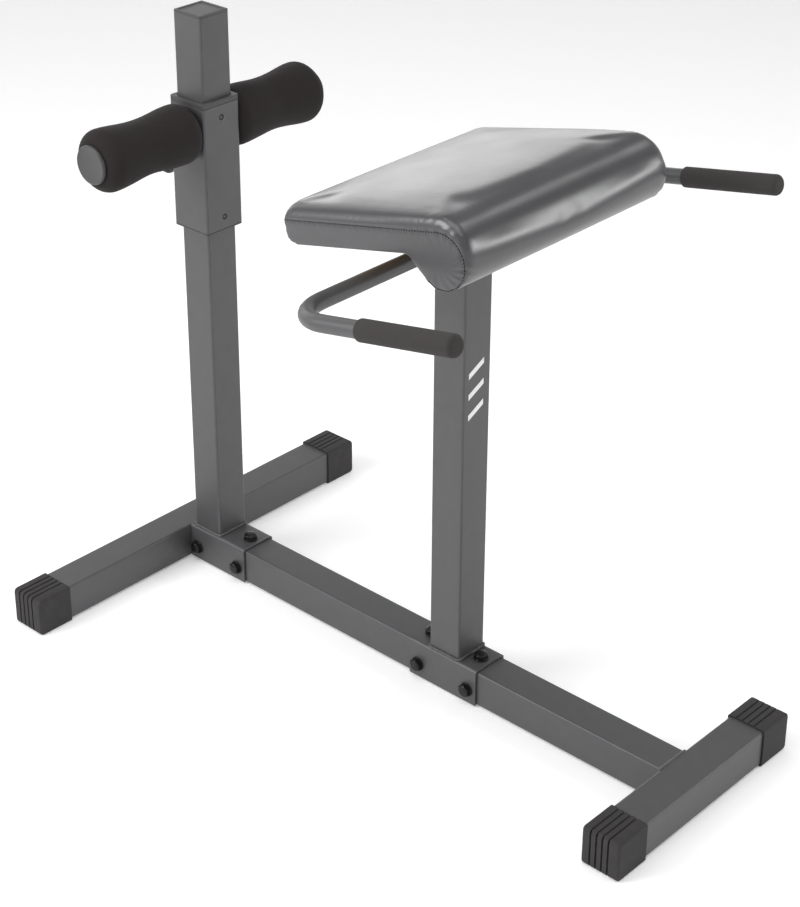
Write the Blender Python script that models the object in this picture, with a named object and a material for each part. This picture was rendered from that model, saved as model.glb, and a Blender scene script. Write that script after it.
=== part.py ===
"""Roman chair: a floor frame of square tube, an ankle post with a sliding pair of foam rollers,
and a hip column that carries a rolled hip pad and a bent handlebar.

Sizes are in metres. +X runs from the ankle post towards the hip pad, +Y is the user's left, +Z is up.
The origin is on the floor, under the middle of the chair.
"""

import math

import bmesh
import bpy
from mathutils import Matrix, Vector

# Fits
CLEARANCE = 0.0003  # between pieces that touch
RUNNING_CLEARANCE = 0.0005  # between pieces that slide or turn

# Floor frame
OVERALL_LENGTH = 0.950  # over the foot caps
REAR_WIDTH = 0.624  # over the foot caps
FRONT_WIDTH = 0.354  # over the foot caps
TUBE = 0.051
TUBE_WALL = 0.002
TUBE_CORNER = 0.003
CAP_WALL = 0.002
CAP_LENGTH = 0.055
CAP_END = 0.004
CAP_CORNER = 0.005

# Saddles over the main beam
SADDLE_PLATE = 0.003
SADDLE_CORNER = 0.005
POST_SADDLE_LENGTH = 0.111
COLUMN_SADDLE_LENGTH = 0.116
SADDLE_BOLT_INSET = 0.015  # from the saddle's end to the bolt's centre
SIDE_BOLT_HEIGHT = 0.020  # above the underside of the beam

# Posts
POST_HEIGHT = 0.832  # top of the ankle post above the floor
POST_OFFSET = 0.0085  # gap from the rear foot to the ankle post
COLUMN_OFFSET = 0.405  # gap from the ankle post to the hip column
PLUG_FLANGE = 0.003
PLUG_DEPTH = 0.015

# Adjusting holes and the pull pin
HOLE_COUNT = 7
HOLE_PITCH = 0.050
TOP_HOLE_BELOW_POST = 0.132  # from the post's top to its highest hole
REST_HOLE = 2  # holes below the highest one at which the sleeve stands
PIN_RADIUS = 0.005
PIN_STEM_RADIUS = 0.004
PIN_COLLAR_RADIUS = 0.0072
PIN_COLLAR = 0.003
PIN_TRAVEL = 0.008  # from drawn out to locked
PIN_CLEAR_OF_POST = 0.0008  # between the drawn pin's tip and the post
BARREL_LENGTH = 0.024
BARREL_RADIUS = 0.011
BARREL_BORE_RADIUS = 0.008
BARREL_END_WALL = 0.0025
SPRING_WIRE_RADIUS = 0.0005
SPRING_RADIUS = 0.006
SPRING_TURNS = 4
KNOB_RADIUS = 0.014
KNOB_LENGTH = 0.020
KNOB_BORE_DEPTH = 0.012

# Sleeve and its bushes
SLEEVE_LENGTH = 0.176
SLEEVE_WALL = 0.0025
SLEEVE_BELOW_PIN = 0.065  # from the pin's axis to the sleeve's lower end
BUSH_WALL = 0.0034
BUSH_DEPTH = 0.040
TOP_FLANGE = 0.007
BOTTOM_FLANGE = 0.002
PEG_INSET = 0.017  # from the sleeve's end to the bush's locating peg
PEG_RADIUS = 0.003
PEG_HOLE_RADIUS = 0.004

# Ankle rollers
AXLE_BELOW_SLEEVE_TOP = 0.036
AXLE_RADIUS = 0.0125
AXLE_WALL = 0.002
ROLLER_LENGTH = 0.159
ROLLER_OFF_SLEEVE = 0.002
ROLLER_INNER_RADIUS = 0.041  # of the foam, near the sleeve
ROLLER_WAIST_RADIUS = 0.037
ROLLER_OUTER_RADIUS = 0.0425
ROLLER_ROUNDING = 0.016
ROLLER_CAP_RADIUS = 0.026
ROLLER_CAP = 0.005
ROLLER_CAP_PLUG = 0.018

# Hip pad and its support
PAD_SLOPE = math.radians(13.5)  # the pad rises towards +X
PAD_HEIGHT = 0.693  # underside of the pad over the column's axis
PAD_WIDTH = 0.370
PAD_THICKNESS = 0.044
PAD_BEHIND_COLUMN = 0.117  # along the slope, from the column's axis to the pad's rear edge
PAD_BEFORE_COLUMN = 0.073  # and to the corner where the roll starts
ROLL_CENTRE = 0.124  # along the slope, from the column's axis
ROLL_RADIUS = 0.042
PAD_REAR_ROUNDING = 0.014
PAD_EDGE_ROUNDING = 0.010
BOARD_THICKNESS = 0.012
BOARD_BORDER = 0.018  # width of the pad's cover around the board
SUPPORT_LENGTH = 0.120
SUPPORT_WIDTH = 0.130
SUPPORT_PLATE = 0.004
SUPPORT_CORNER = 0.012
PAD_BOLT_INSET = 0.014  # from the support plate's edges

# Handlebar
HANDLEBAR_WIDTH = 0.596  # between the arms' centre lines
HANDLEBAR_LEVEL = 0.646  # of the cross tube's centre line above the floor
HANDLEBAR_BEHIND_COLUMN = 0.007  # from the column's axis to that centre line
HANDLEBAR_SLOPE = math.radians(11.3)  # the arms rise towards +X
HANDLEBAR_REACH = 0.261  # along an arm, from that centre line to the grip's end
HANDLEBAR_BEND = 0.061
HANDLEBAR_RADIUS = 0.0105
HANDLEBAR_WALL = 0.0015
GRIP_LENGTH = 0.141
GRIP_RADIUS = 0.0133
GRIP_END = 0.005
GRIP_ROUNDING = 0.005

# Fasteners: shank radius, hexagon across its flats, head height, nut height
FRAME_BOLT = (0.005, 0.016, 0.0064, 0.008)
PAD_BOLT = (0.004, 0.013, 0.0053, 0.0065)
WASHER_RADIUS = 0.010
WASHER = 0.002
BOLT_HOLE_CLEARANCE = 0.0005
BOLT_TIP = 0.003  # of the shank past the nut

# Levels and places that follow from the sizes above
CAP_SIDE = TUBE + 2 * CLEARANCE + 2 * CAP_WALL
BEAM_UNDERSIDE = CAP_WALL + CLEARANCE
TUBE_LEVEL = BEAM_UNDERSIDE + TUBE / 2
BEAM_TOP = BEAM_UNDERSIDE + TUBE
SADDLE_TOP = BEAM_TOP + CLEARANCE + SADDLE_PLATE
SADDLE_HALF_WIDTH = TUBE / 2 + CLEARANCE + SADDLE_PLATE
REAR_FOOT_X = (CAP_SIDE - OVERALL_LENGTH) / 2
FRONT_FOOT_X = -REAR_FOOT_X
POST_X = REAR_FOOT_X + TUBE + POST_OFFSET
COLUMN_X = POST_X + TUBE + COLUMN_OFFSET
POST_SADDLE_START = REAR_FOOT_X + TUBE / 2 + CLEARANCE
COLUMN_SADDLE_START = COLUMN_X - COLUMN_SADDLE_LENGTH / 2
PIN_LEVEL = POST_HEIGHT - TOP_HOLE_BELOW_POST - REST_HOLE * HOLE_PITCH
SLEEVE_BOTTOM = PIN_LEVEL - SLEEVE_BELOW_PIN
SLEEVE_TOP = SLEEVE_BOTTOM + SLEEVE_LENGTH
SLEEVE_BORE = TUBE + 2 * (RUNNING_CLEARANCE + BUSH_WALL + CLEARANCE)
SLEEVE_SIDE = SLEEVE_BORE + 2 * SLEEVE_WALL
AXLE_LEVEL = SLEEVE_TOP - AXLE_BELOW_SLEEVE_TOP
PIN_HOLE_RADIUS = PIN_RADIUS + RUNNING_CLEARANCE
SLEEVE_REAR_X = POST_X - SLEEVE_SIDE / 2
BARREL_X = SLEEVE_REAR_X - CLEARANCE - BARREL_LENGTH
PIN_TIP_X = POST_X - TUBE / 2 - PIN_CLEAR_OF_POST

# Local (x, y, z) to world (Y, Z, X), and to world (X, Z, -Y)
SECTION_ALONG_X = Matrix(((0, 0, 1, 0), (1, 0, 0, 0), (0, 1, 0, 0), (0, 0, 0, 1)))
SECTION_ALONG_Y = Matrix.Rotation(math.pi / 2, 4, "X")
TOWARDS_LEFT = Matrix.Rotation(-math.pi / 2, 4, "X")
TOWARDS_RIGHT = Matrix.Rotation(math.pi / 2, 4, "X")
TOWARDS_FRONT = Matrix.Rotation(math.pi / 2, 4, "Y")
# The pad's frame: x along its slope, z square to it, from its underside over the column's axis
PAD_FRAME = Matrix.Translation((COLUMN_X, 0, PAD_HEIGHT)) @ Matrix.Rotation(-PAD_SLOPE, 4, "Y")

SMOOTH_ANGLE = math.radians(35)
WELD_DISTANCE = 1e-6


def at(x, y, z):
    return Matrix.Translation((x, y, z))


# Outlines: lists of points in a plane


def circle(radius, steps=20):
    turns = [2 * math.pi * step / steps for step in range(steps)]
    return [(radius * math.cos(turn), radius * math.sin(turn)) for turn in turns]


def hexagon(across_flats):
    return circle(across_flats / math.sqrt(3), 6)


def rounded(corners, steps=3):
    """The outline through corners of (x, y, radius), each rounded to its radius."""
    points = []
    for index, (x, y, radius) in enumerate(corners):
        corner = Vector((x, y))
        if not radius:
            points.append((x, y))
            continue
        back = (Vector(corners[index - 1][:2]) - corner).normalized()
        on = (Vector(corners[(index + 1) % len(corners)][:2]) - corner).normalized()
        half = back.angle(on) / 2
        centre = corner + (back + on).normalized() * (radius / math.sin(half))
        start = corner + back * (radius / math.tan(half)) - centre
        end = corner + on * (radius / math.tan(half)) - centre
        first = math.atan2(start.y, start.x)
        turn = math.atan2(start.cross(end), start.dot(end))
        for step in range(steps + 1):
            angle = first + turn * step / steps
            points.append((centre.x + radius * math.cos(angle), centre.y + radius * math.sin(angle)))
    return points


def rectangle(width, depth, corner):
    x, y = width / 2, depth / 2
    return rounded([(x, -y, corner), (x, y, corner), (-x, y, corner), (-x, -y, corner)])


def square(side, corner):
    return rectangle(side, side, corner)


# Bodies: each function returns a bmesh that is one closed body


def loop(bm, outline, height=0.0):
    points = [bm.verts.new((x, y, height)) for x, y in outline]
    return [bm.edges.new((points[index - 1], point)) for index, point in enumerate(points)]


def plate(outline, depth, holes=()):
    """The outline, less its holes, from z = 0 up to the depth."""
    bm = bmesh.new()
    edges = [edge for line in (outline, *holes) for edge in loop(bm, line)]
    bmesh.ops.triangle_fill(bm, use_beauty=True, edges=edges)
    raised = bmesh.ops.extrude_face_region(bm, geom=bm.faces[:])["geom"]
    points = [item for item in raised if isinstance(item, bmesh.types.BMVert)]
    bmesh.ops.translate(bm, verts=points, vec=(0, 0, depth))
    bmesh.ops.recalc_face_normals(bm, faces=bm.faces)
    return bm


def stacked(steps, through=False):
    """A body from steps of (outline, height): the same outline again makes a wall, and another one
    makes a shelf. A through body joins its last step to its first, and any other is capped."""
    bm = bmesh.new()
    loops = [loop(bm, outline, height) for outline, height in steps]
    pairs = list(zip(range(len(steps)), range(1, len(steps))))
    if through:
        pairs.append((len(steps) - 1, 0))
    else:
        bmesh.ops.triangle_fill(bm, use_beauty=True, edges=loops[0])
        bmesh.ops.triangle_fill(bm, use_beauty=True, edges=loops[-1])
    for first, second in pairs:
        edges = loops[first] + loops[second]
        if steps[first][0] is steps[second][0]:
            bmesh.ops.bridge_loops(bm, edges=edges)
        else:
            bmesh.ops.triangle_fill(bm, use_beauty=True, edges=edges)
    bmesh.ops.recalc_face_normals(bm, faces=bm.faces)
    return bm


def turned(profile, steps=24, closed=False):
    """The profile of (radius, height) points spun about Z. A closed profile makes a ring."""
    bm = bmesh.new()
    points = [bm.verts.new((radius, 0, height)) for radius, height in profile]
    ends = zip(points, points[1:] + points[:1]) if closed else zip(points, points[1:])
    edges = [bm.edges.new(pair) for pair in ends]
    bmesh.ops.spin(
        bm,
        geom=points + edges,
        axis=(0, 0, 1),
        cent=(0, 0, 0),
        angle=2 * math.pi,
        steps=steps,
        use_merge=True,
    )
    bmesh.ops.remove_doubles(bm, verts=bm.verts, dist=WELD_DISTANCE)
    bmesh.ops.recalc_face_normals(bm, faces=bm.faces)
    return bm


def square_tube(side, wall, corner, length):
    outer = square(side, corner)
    inner = square(side - 2 * wall, corner - wall)
    return stacked([(outer, 0), (outer, length), (inner, length), (inner, 0)], through=True)


def rounded_end(radius, height, rounding, steps=4):
    """Profile points that turn from a cylinder of the radius into its end face at the height."""
    turns = [math.pi / 2 * step / steps for step in range(steps + 1)]
    return [
        (radius - rounding * (1 - math.cos(turn)), height - rounding * (1 - math.sin(turn)))
        for turn in turns
    ]


# Objects


def finish(name, colour, roughness, metallic=0.0):
    material = bpy.data.materials.new(name)
    material.use_nodes = True
    shader = material.node_tree.nodes["Principled BSDF"]
    shader.inputs["Base Color"].default_value = (*colour, 1)
    shader.inputs["Roughness"].default_value = roughness
    shader.inputs["Metallic"].default_value = metallic
    return material


def add(name, body, material, place, parent=None):
    mesh = bpy.data.meshes.new(name)
    body.to_mesh(mesh)
    body.free()
    mesh.materials.append(material)
    mesh.shade_smooth()
    mesh.set_sharp_from_angle(angle=SMOOTH_ANGLE)
    return add_copy(name, mesh, place, parent)


def add_copy(name, mesh, place, parent=None):
    obj = bpy.data.objects.new(name, mesh)
    bpy.context.scene.collection.objects.link(obj)
    if parent:
        obj.parent = parent
        obj.matrix_parent_inverse = parent.matrix_basis.inverted()
    obj.matrix_basis = place
    return obj


def joint_point(name, place, parent=None):
    """An empty on a joint's axis, which the pieces of the moving body hang on."""
    empty = bpy.data.objects.new(name, None)
    bpy.context.scene.collection.objects.link(empty)
    empty.matrix_basis = place
    if parent:
        empty.parent = parent
        empty.matrix_parent_inverse = parent.matrix_basis.inverted()
    return empty


def tool(name, body):
    """A shape that only cuts or joins other pieces."""
    mesh = bpy.data.meshes.new(name)
    body.to_mesh(mesh)
    body.free()
    obj = add_copy(name, mesh, Matrix())
    obj.hide_render = True
    obj.display_type = "WIRE"
    return obj


def drill(name, radius, length, places, steps=16):
    """Cylinders centred on the places, along each place's z."""
    bm = bmesh.new()
    for place in places:
        bmesh.ops.create_cone(
            bm,
            cap_ends=True,
            segments=steps,
            radius1=radius,
            radius2=radius,
            depth=length,
            matrix=place,
        )
    return tool(name, bm)


def shape_with(obj, other, operation="DIFFERENCE"):
    modifier = obj.modifiers.new(other.name, "BOOLEAN")
    modifier.object = other
    modifier.operation = operation


def clear_scene():
    for obj in list(bpy.data.objects):
        bpy.data.objects.remove(obj, do_unlink=True)


# Floor frame


def make_cross_foot(name, x, width, material):
    length = width - 2 * (CAP_END + CLEARANCE)
    place = at(x, length / 2, TUBE_LEVEL) @ TOWARDS_RIGHT
    add(name, square_tube(TUBE, TUBE_WALL, TUBE_CORNER, length), material, place)


def make_foot_cap(name, x, side, width, material):
    """A cap open towards the middle of the foot; side is 1 on the left and -1 on the right."""
    outer = square(CAP_SIDE, CAP_CORNER)
    inner = square(TUBE + 2 * CLEARANCE, TUBE_CORNER)
    body = stacked([(outer, 0), (outer, CAP_LENGTH), (inner, CAP_LENGTH), (inner, CAP_END)])
    inwards = TOWARDS_RIGHT if side > 0 else TOWARDS_LEFT
    add(name, body, material, at(x, side * width / 2, CAP_SIDE / 2) @ inwards)


def make_main_beam(material):
    start = REAR_FOOT_X + TUBE / 2 + CLEARANCE
    length = FRONT_FOOT_X - TUBE / 2 - CLEARANCE - start
    body = square_tube(TUBE, TUBE_WALL, TUBE_CORNER, length)
    beam = add("main_beam", body, material, at(start, 0, TUBE_LEVEL) @ SECTION_ALONG_X)
    shape_with(beam, drill_side_bolts("beam_side_holes"))
    shape_with(beam, drill_top_bolts("beam_top_holes"))


def make_saddle(name, start, length, material):
    outer = SADDLE_HALF_WIDTH
    inner = outer - SADDLE_PLATE
    top = SADDLE_TOP - BEAM_UNDERSIDE
    ceiling = top - SADDLE_PLATE
    section = rounded(
        [
            (-outer, 0, 0),
            (-inner, 0, 0),
            (-inner, ceiling, SADDLE_CORNER - SADDLE_PLATE),
            (inner, ceiling, SADDLE_CORNER - SADDLE_PLATE),
            (inner, 0, 0),
            (outer, 0, 0),
            (outer, top, SADDLE_CORNER),
            (-outer, top, SADDLE_CORNER),
        ]
    )
    place = at(start, 0, BEAM_UNDERSIDE) @ SECTION_ALONG_X
    saddle = add(name, plate(section, length), material, place)
    shape_with(saddle, drill_side_bolts(name + "_side_holes"))
    shape_with(saddle, drill_top_bolts(name + "_top_holes"))


def saddle_bolt_places():
    """Names of the bolts with their X: the side bolts, and the bolts on top."""
    rear_start = POST_SADDLE_START + SADDLE_BOLT_INSET
    rear_end = POST_SADDLE_START + POST_SADDLE_LENGTH - SADDLE_BOLT_INSET
    column_start = COLUMN_SADDLE_START + SADDLE_BOLT_INSET
    column_end = COLUMN_SADDLE_START + COLUMN_SADDLE_LENGTH - SADDLE_BOLT_INSET
    side = {
        "post_saddle_rear": rear_start,
        "post_saddle_front": rear_end,
        "column_saddle_rear": column_start,
        "column_saddle_front": column_end,
    }
    top = {
        "post_saddle_top": rear_end,
        "column_saddle_top_rear": column_start,
        "column_saddle_top_front": column_end,
    }
    return side, top


def bolt_hole(bolt):
    return bolt[0] + BOLT_HOLE_CLEARANCE


def drill_side_bolts(name):
    side, _ = saddle_bolt_places()
    level = BEAM_UNDERSIDE + SIDE_BOLT_HEIGHT
    places = [at(x, 0, level) @ TOWARDS_LEFT for x in side.values()]
    return drill(name, bolt_hole(FRAME_BOLT), 4 * SADDLE_HALF_WIDTH, places)


def drill_top_bolts(name):
    _, top = saddle_bolt_places()
    places = [at(x, 0, BEAM_TOP) for x in top.values()]
    return drill(name, bolt_hole(FRAME_BOLT), TUBE / 2, places)


# Fasteners


def bolt(size, length):
    """A hexagon head above z = 0 and its shank below."""
    radius, flats, head, _ = size
    shank = circle(radius, 12)
    hexagonal = hexagon(flats)
    bearing = circle(flats * 0.45, 12)
    crown = head / 8
    steps = [
        (shank, -length),
        (shank, 0),
        (hexagonal, 0),
        (hexagonal, head - crown),
        (bearing, head - crown),
        (bearing, head),
    ]
    return stacked(steps)


def nut(size):
    radius, flats, _, height = size
    bore = circle(radius + CLEARANCE, 12)
    hexagonal = hexagon(flats)
    return stacked([(bore, 0), (bore, height), (hexagonal, height), (hexagonal, 0)], through=True)


def washer():
    bore = circle(bolt_hole(FRAME_BOLT), 12)
    rim = circle(WASHER_RADIUS, 16)
    return stacked([(bore, 0), (bore, WASHER), (rim, WASHER), (rim, 0)], through=True)


def make_saddle_bolts(material):
    """Side bolts pass through the beam to nuts on the left; top bolts end in nuts under its top wall."""
    side, top = saddle_bolt_places()
    nut_height = FRAME_BOLT[3]
    washer_stack = CLEARANCE + WASHER + CLEARANCE
    through = 2 * SADDLE_HALF_WIDTH + washer_stack + CLEARANCE + nut_height + BOLT_TIP
    top_grip = washer_stack + SADDLE_PLATE + CLEARANCE + TUBE_WALL
    nut_top = BEAM_TOP - TUBE_WALL - CLEARANCE
    level = BEAM_UNDERSIDE + SIDE_BOLT_HEIGHT
    for name, x in side.items():
        right = -SADDLE_HALF_WIDTH
        add(name + "_washer", washer(), material, at(x, right - CLEARANCE, level) @ TOWARDS_RIGHT)
        bolt_place = at(x, right - washer_stack, level) @ TOWARDS_RIGHT
        add(name + "_bolt", bolt(FRAME_BOLT, through), material, bolt_place)
        nut_place = at(x, SADDLE_HALF_WIDTH + CLEARANCE, level) @ TOWARDS_LEFT
        add(name + "_nut", nut(FRAME_BOLT), material, nut_place)
    for name, x in top.items():
        length = top_grip + CLEARANCE + nut_height + BOLT_TIP
        add(name + "_washer", washer(), material, at(x, 0, SADDLE_TOP + CLEARANCE))
        add(name + "_bolt", bolt(FRAME_BOLT, length), material, at(x, 0, SADDLE_TOP + washer_stack))
        add(name + "_nut", nut(FRAME_BOLT), material, at(x, 0, nut_top - nut_height))


# Ankle post, sleeve and bushes


def make_ankle_post(steel, plastic):
    bottom = SADDLE_TOP + CLEARANCE
    body = square_tube(TUBE, TUBE_WALL, TUBE_CORNER, POST_HEIGHT - bottom)
    post = add("ankle_post", body, steel, at(POST_X, 0, bottom))
    top_hole = POST_HEIGHT - TOP_HOLE_BELOW_POST
    levels = [top_hole - HOLE_PITCH * index for index in range(HOLE_COUNT)]
    places = [at(POST_X - TUBE / 2, 0, level) @ TOWARDS_FRONT for level in levels]
    shape_with(post, drill("post_holes", PIN_HOLE_RADIUS, TUBE / 2, places))
    flange = square(TUBE, TUBE_CORNER)
    insert = square(TUBE - 2 * TUBE_WALL - 2 * CLEARANCE, TUBE_CORNER - TUBE_WALL)
    steps = [(insert, -PLUG_DEPTH), (insert, 0), (flange, 0), (flange, PLUG_FLANGE)]
    add("post_top_plug", stacked(steps), plastic, at(POST_X, 0, POST_HEIGHT + CLEARANCE))


def make_sleeve(steel, parent):
    body = square_tube(SLEEVE_SIDE, SLEEVE_WALL, TUBE_CORNER, SLEEVE_LENGTH)
    sleeve = add("slide_sleeve", body, steel, at(POST_X, 0, SLEEVE_BOTTOM), parent)
    rear = at(SLEEVE_REAR_X, 0, PIN_LEVEL) @ TOWARDS_FRONT
    shape_with(sleeve, drill("sleeve_pin_hole", PIN_HOLE_RADIUS, TUBE / 2, [rear]))
    front_x = POST_X + SLEEVE_SIDE / 2
    levels = (SLEEVE_BOTTOM + PEG_INSET, SLEEVE_TOP - PEG_INSET)
    places = [at(front_x, 0, level) @ TOWARDS_FRONT for level in levels]
    shape_with(sleeve, drill("sleeve_peg_holes", PEG_HOLE_RADIUS, TUBE / 2, places))


def make_bush(name, upwards, flange_height, plastic, parent):
    """A lining in the sleeve's end with a flange outside it and a peg in the sleeve's front wall."""
    lining = square(SLEEVE_BORE - 2 * CLEARANCE, TUBE_CORNER - CLEARANCE)
    bore = square(TUBE + 2 * RUNNING_CLEARANCE, TUBE_CORNER)
    rim = square(SLEEVE_SIDE, TUBE_CORNER)
    end = CLEARANCE + flange_height
    steps = [
        (lining, -BUSH_DEPTH),
        (lining, CLEARANCE),
        (rim, CLEARANCE),
        (rim, end),
        (bore, end),
        (bore, -BUSH_DEPTH),
    ]
    edge = SLEEVE_TOP if upwards else SLEEVE_BOTTOM
    turn = Matrix() if upwards else Matrix.Rotation(math.pi, 4, "X")
    bush = add(name, stacked(steps, through=True), plastic, at(POST_X, 0, edge) @ turn, parent)
    peg_level = edge - PEG_INSET if upwards else edge + PEG_INSET
    peg_length = SLEEVE_WALL + BUSH_WALL
    peg_centre = POST_X + SLEEVE_SIDE / 2 - CLEARANCE - peg_length / 2
    place = at(peg_centre, 0, peg_level) @ TOWARDS_FRONT
    shape_with(bush, drill(name + "_peg", PEG_RADIUS, peg_length, [place], 12), "UNION")


# Pull pin: every piece is turned about the pin's axis and points along +X


def pin_place(x):
    return at(x, 0, PIN_LEVEL) @ TOWARDS_FRONT


def make_barrel(steel, parent):
    hole = PIN_STEM_RADIUS + RUNNING_CLEARANCE
    profile = [
        (hole, 0),
        (BARREL_RADIUS, 0),
        (BARREL_RADIUS, BARREL_LENGTH),
        (BARREL_BORE_RADIUS, BARREL_LENGTH),
        (BARREL_BORE_RADIUS, BARREL_END_WALL),
        (hole, BARREL_END_WALL),
    ]
    add("pin_barrel", turned(profile, closed=True), steel, pin_place(BARREL_X), parent)


def locked_collar_front():
    """Distance from the barrel's end to the collar's front face when the pin is drawn."""
    return BARREL_LENGTH - RUNNING_CLEARANCE - PIN_TRAVEL


def make_spring(steel, parent):
    """A coil between the barrel's end wall and the drawn pin's collar."""
    start = BARREL_END_WALL + CLEARANCE + SPRING_WIRE_RADIUS
    end = locked_collar_front() - PIN_COLLAR - CLEARANCE - SPRING_WIRE_RADIUS
    points_per_turn = 12
    count = SPRING_TURNS * points_per_turn
    curve = bpy.data.curves.new("pin_spring", "CURVE")
    curve.dimensions = "3D"
    curve.bevel_depth = SPRING_WIRE_RADIUS
    curve.bevel_resolution = 0
    curve.use_fill_caps = True
    curve.materials.append(steel)
    spline = curve.splines.new("POLY")
    spline.points.add(count)
    for index, point in enumerate(spline.points):
        turn = 2 * math.pi * index / points_per_turn
        height = start + (end - start) * index / count
        point.co = (SPRING_RADIUS * math.cos(turn), SPRING_RADIUS * math.sin(turn), height, 1)
    add_copy("pin_spring", curve, pin_place(BARREL_X), parent)


def make_pull_pin(steel, plastic, parent):
    """The drawn pin: its tip is just clear of the post, and locking moves it forwards by its travel."""
    collar_front = BARREL_X + locked_collar_front()
    knob_front = BARREL_X - PIN_TRAVEL - RUNNING_CLEARANCE
    stem_end = knob_front - KNOB_BORE_DEPTH + CLEARANCE
    tip = PIN_TIP_X - stem_end
    collar = collar_front - stem_end
    profile = [
        (0, 0),
        (PIN_STEM_RADIUS, 0),
        (PIN_STEM_RADIUS, collar - PIN_COLLAR),
        (PIN_COLLAR_RADIUS, collar - PIN_COLLAR),
        (PIN_COLLAR_RADIUS, collar),
        (PIN_RADIUS, collar),
        *rounded_end(PIN_RADIUS, tip, PIN_RADIUS / 4, 2),
        (0, tip),
    ]
    add("pull_pin", turned(profile, 20), steel, pin_place(stem_end), parent)
    bore = PIN_STEM_RADIUS + CLEARANCE
    neck = KNOB_RADIUS * 0.6
    round_back = rounded_end(KNOB_RADIUS, KNOB_LENGTH, KNOB_RADIUS * 0.4)
    knob = [
        (bore, KNOB_BORE_DEPTH),
        (bore, 0),
        (neck, 0),
        (neck, KNOB_LENGTH * 0.2),
        (KNOB_RADIUS, KNOB_LENGTH * 0.35),
        *round_back,
        (0, KNOB_LENGTH),
    ]
    backwards = pin_place(knob_front) @ Matrix.Rotation(math.pi, 4, "Y")
    add("pull_knob", turned([(0, KNOB_BORE_DEPTH), *knob]), plastic, backwards, parent)


# Ankle rollers


def roller_side(side):
    """The place where a roller's axle leaves the sleeve, along the axle; side is 1 on the left."""
    outwards = TOWARDS_LEFT if side > 0 else TOWARDS_RIGHT
    return at(POST_X, side * SLEEVE_SIDE / 2, AXLE_LEVEL) @ outwards


def make_roller_foam(name, side, foam, parent):
    """Foam with a slight waist, thicker and well rounded at both ends."""
    bore = AXLE_RADIUS + RUNNING_CLEARANCE
    steps = 10
    straight = ROLLER_LENGTH - 2 * ROLLER_ROUNDING
    outer = rounded_end(ROLLER_OUTER_RADIUS, ROLLER_LENGTH, ROLLER_ROUNDING)
    inner = rounded_end(ROLLER_INNER_RADIUS, ROLLER_LENGTH, ROLLER_ROUNDING)
    profile = [(bore, 0)]
    profile += [(radius, ROLLER_LENGTH - height) for radius, height in reversed(inner)]
    for step in range(1, steps):
        part = step / steps
        end_radius = ROLLER_INNER_RADIUS + (ROLLER_OUTER_RADIUS - ROLLER_INNER_RADIUS) * part
        waist = (1 - math.cos(2 * math.pi * part)) / 2
        radius = end_radius + (ROLLER_WAIST_RADIUS - end_radius) * waist
        profile.append((radius, ROLLER_ROUNDING + straight * part))
    profile += outer
    profile.append((bore, ROLLER_LENGTH))
    place = roller_side(side) @ at(0, 0, ROLLER_OFF_SLEEVE)
    add(name, turned(profile, 28, closed=True), foam, place, parent)


def make_axle_and_cap(prefix, side, steel, plastic, parent):
    length = ROLLER_OFF_SLEEVE + ROLLER_LENGTH + RUNNING_CLEARANCE
    inner = AXLE_RADIUS - AXLE_WALL
    profile = [
        (inner, CLEARANCE),
        (AXLE_RADIUS, CLEARANCE),
        (AXLE_RADIUS, length),
        (inner, length),
    ]
    add(prefix + "_roller_axle", turned(profile, closed=True), steel, roller_side(side), parent)
    plug = inner - CLEARANCE
    cap = [
        (0, -ROLLER_CAP_PLUG),
        (plug, -ROLLER_CAP_PLUG),
        (plug, 0),
        (ROLLER_CAP_RADIUS, 0),
        *rounded_end(ROLLER_CAP_RADIUS, ROLLER_CAP, ROLLER_CAP / 2, 3),
        (0, ROLLER_CAP),
    ]
    place = roller_side(side) @ at(0, 0, length + CLEARANCE)
    add(prefix + "_roller_cap", turned(cap, 28), plastic, place, parent)


# Hip column, pad and handlebar


def make_hip_column(material):
    bottom = SADDLE_TOP + CLEARANCE
    length = PAD_HEIGHT + TUBE - bottom
    body = square_tube(TUBE, TUBE_WALL, TUBE_CORNER, length)
    column = add("hip_column", body, material, at(COLUMN_X, 0, bottom))
    under_plate = -(SUPPORT_PLATE + 2 * CLEARANCE)
    block = bmesh.new()
    size = 4 * TUBE
    place = PAD_FRAME @ at(0, 0, under_plate + size / 2) @ Matrix.Scale(size, 4)
    bmesh.ops.create_cube(block, size=1, matrix=place)
    shape_with(column, tool("column_slope", block))
    place = handlebar_frame() @ TOWARDS_LEFT
    hole = HANDLEBAR_RADIUS + CLEARANCE
    shape_with(column, drill("column_bar_holes", hole, 2 * TUBE, [place], 24))


def pad_bolt_places():
    x = SUPPORT_LENGTH / 2 - PAD_BOLT_INSET
    y = SUPPORT_WIDTH / 2 - PAD_BOLT_INSET
    return {
        "rear_right": (-x, -y),
        "rear_left": (-x, y),
        "front_right": (x, -y),
        "front_left": (x, y),
    }


def holes_at(places, radius):
    return [[(x + u, y + v) for u, v in circle(radius, 12)] for x, y in places]


def make_pad_support(material, bolt_material):
    hole = bolt_hole(PAD_BOLT)
    places = pad_bolt_places()
    outline = rectangle(SUPPORT_LENGTH, SUPPORT_WIDTH, SUPPORT_CORNER)
    body = plate(outline, SUPPORT_PLATE, holes_at(places.values(), hole))
    underside = -(SUPPORT_PLATE + CLEARANCE)
    add("pad_support", body, material, PAD_FRAME @ at(0, 0, underside))
    length = SUPPORT_PLATE + 2 * CLEARANCE + BOARD_THICKNESS * 0.8
    downwards = Matrix.Rotation(math.pi, 4, "X")
    for name, (x, y) in places.items():
        place = PAD_FRAME @ at(x, y, underside - CLEARANCE) @ downwards
        add("pad_bolt_" + name, bolt(PAD_BOLT, length), bolt_material, place)


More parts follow.
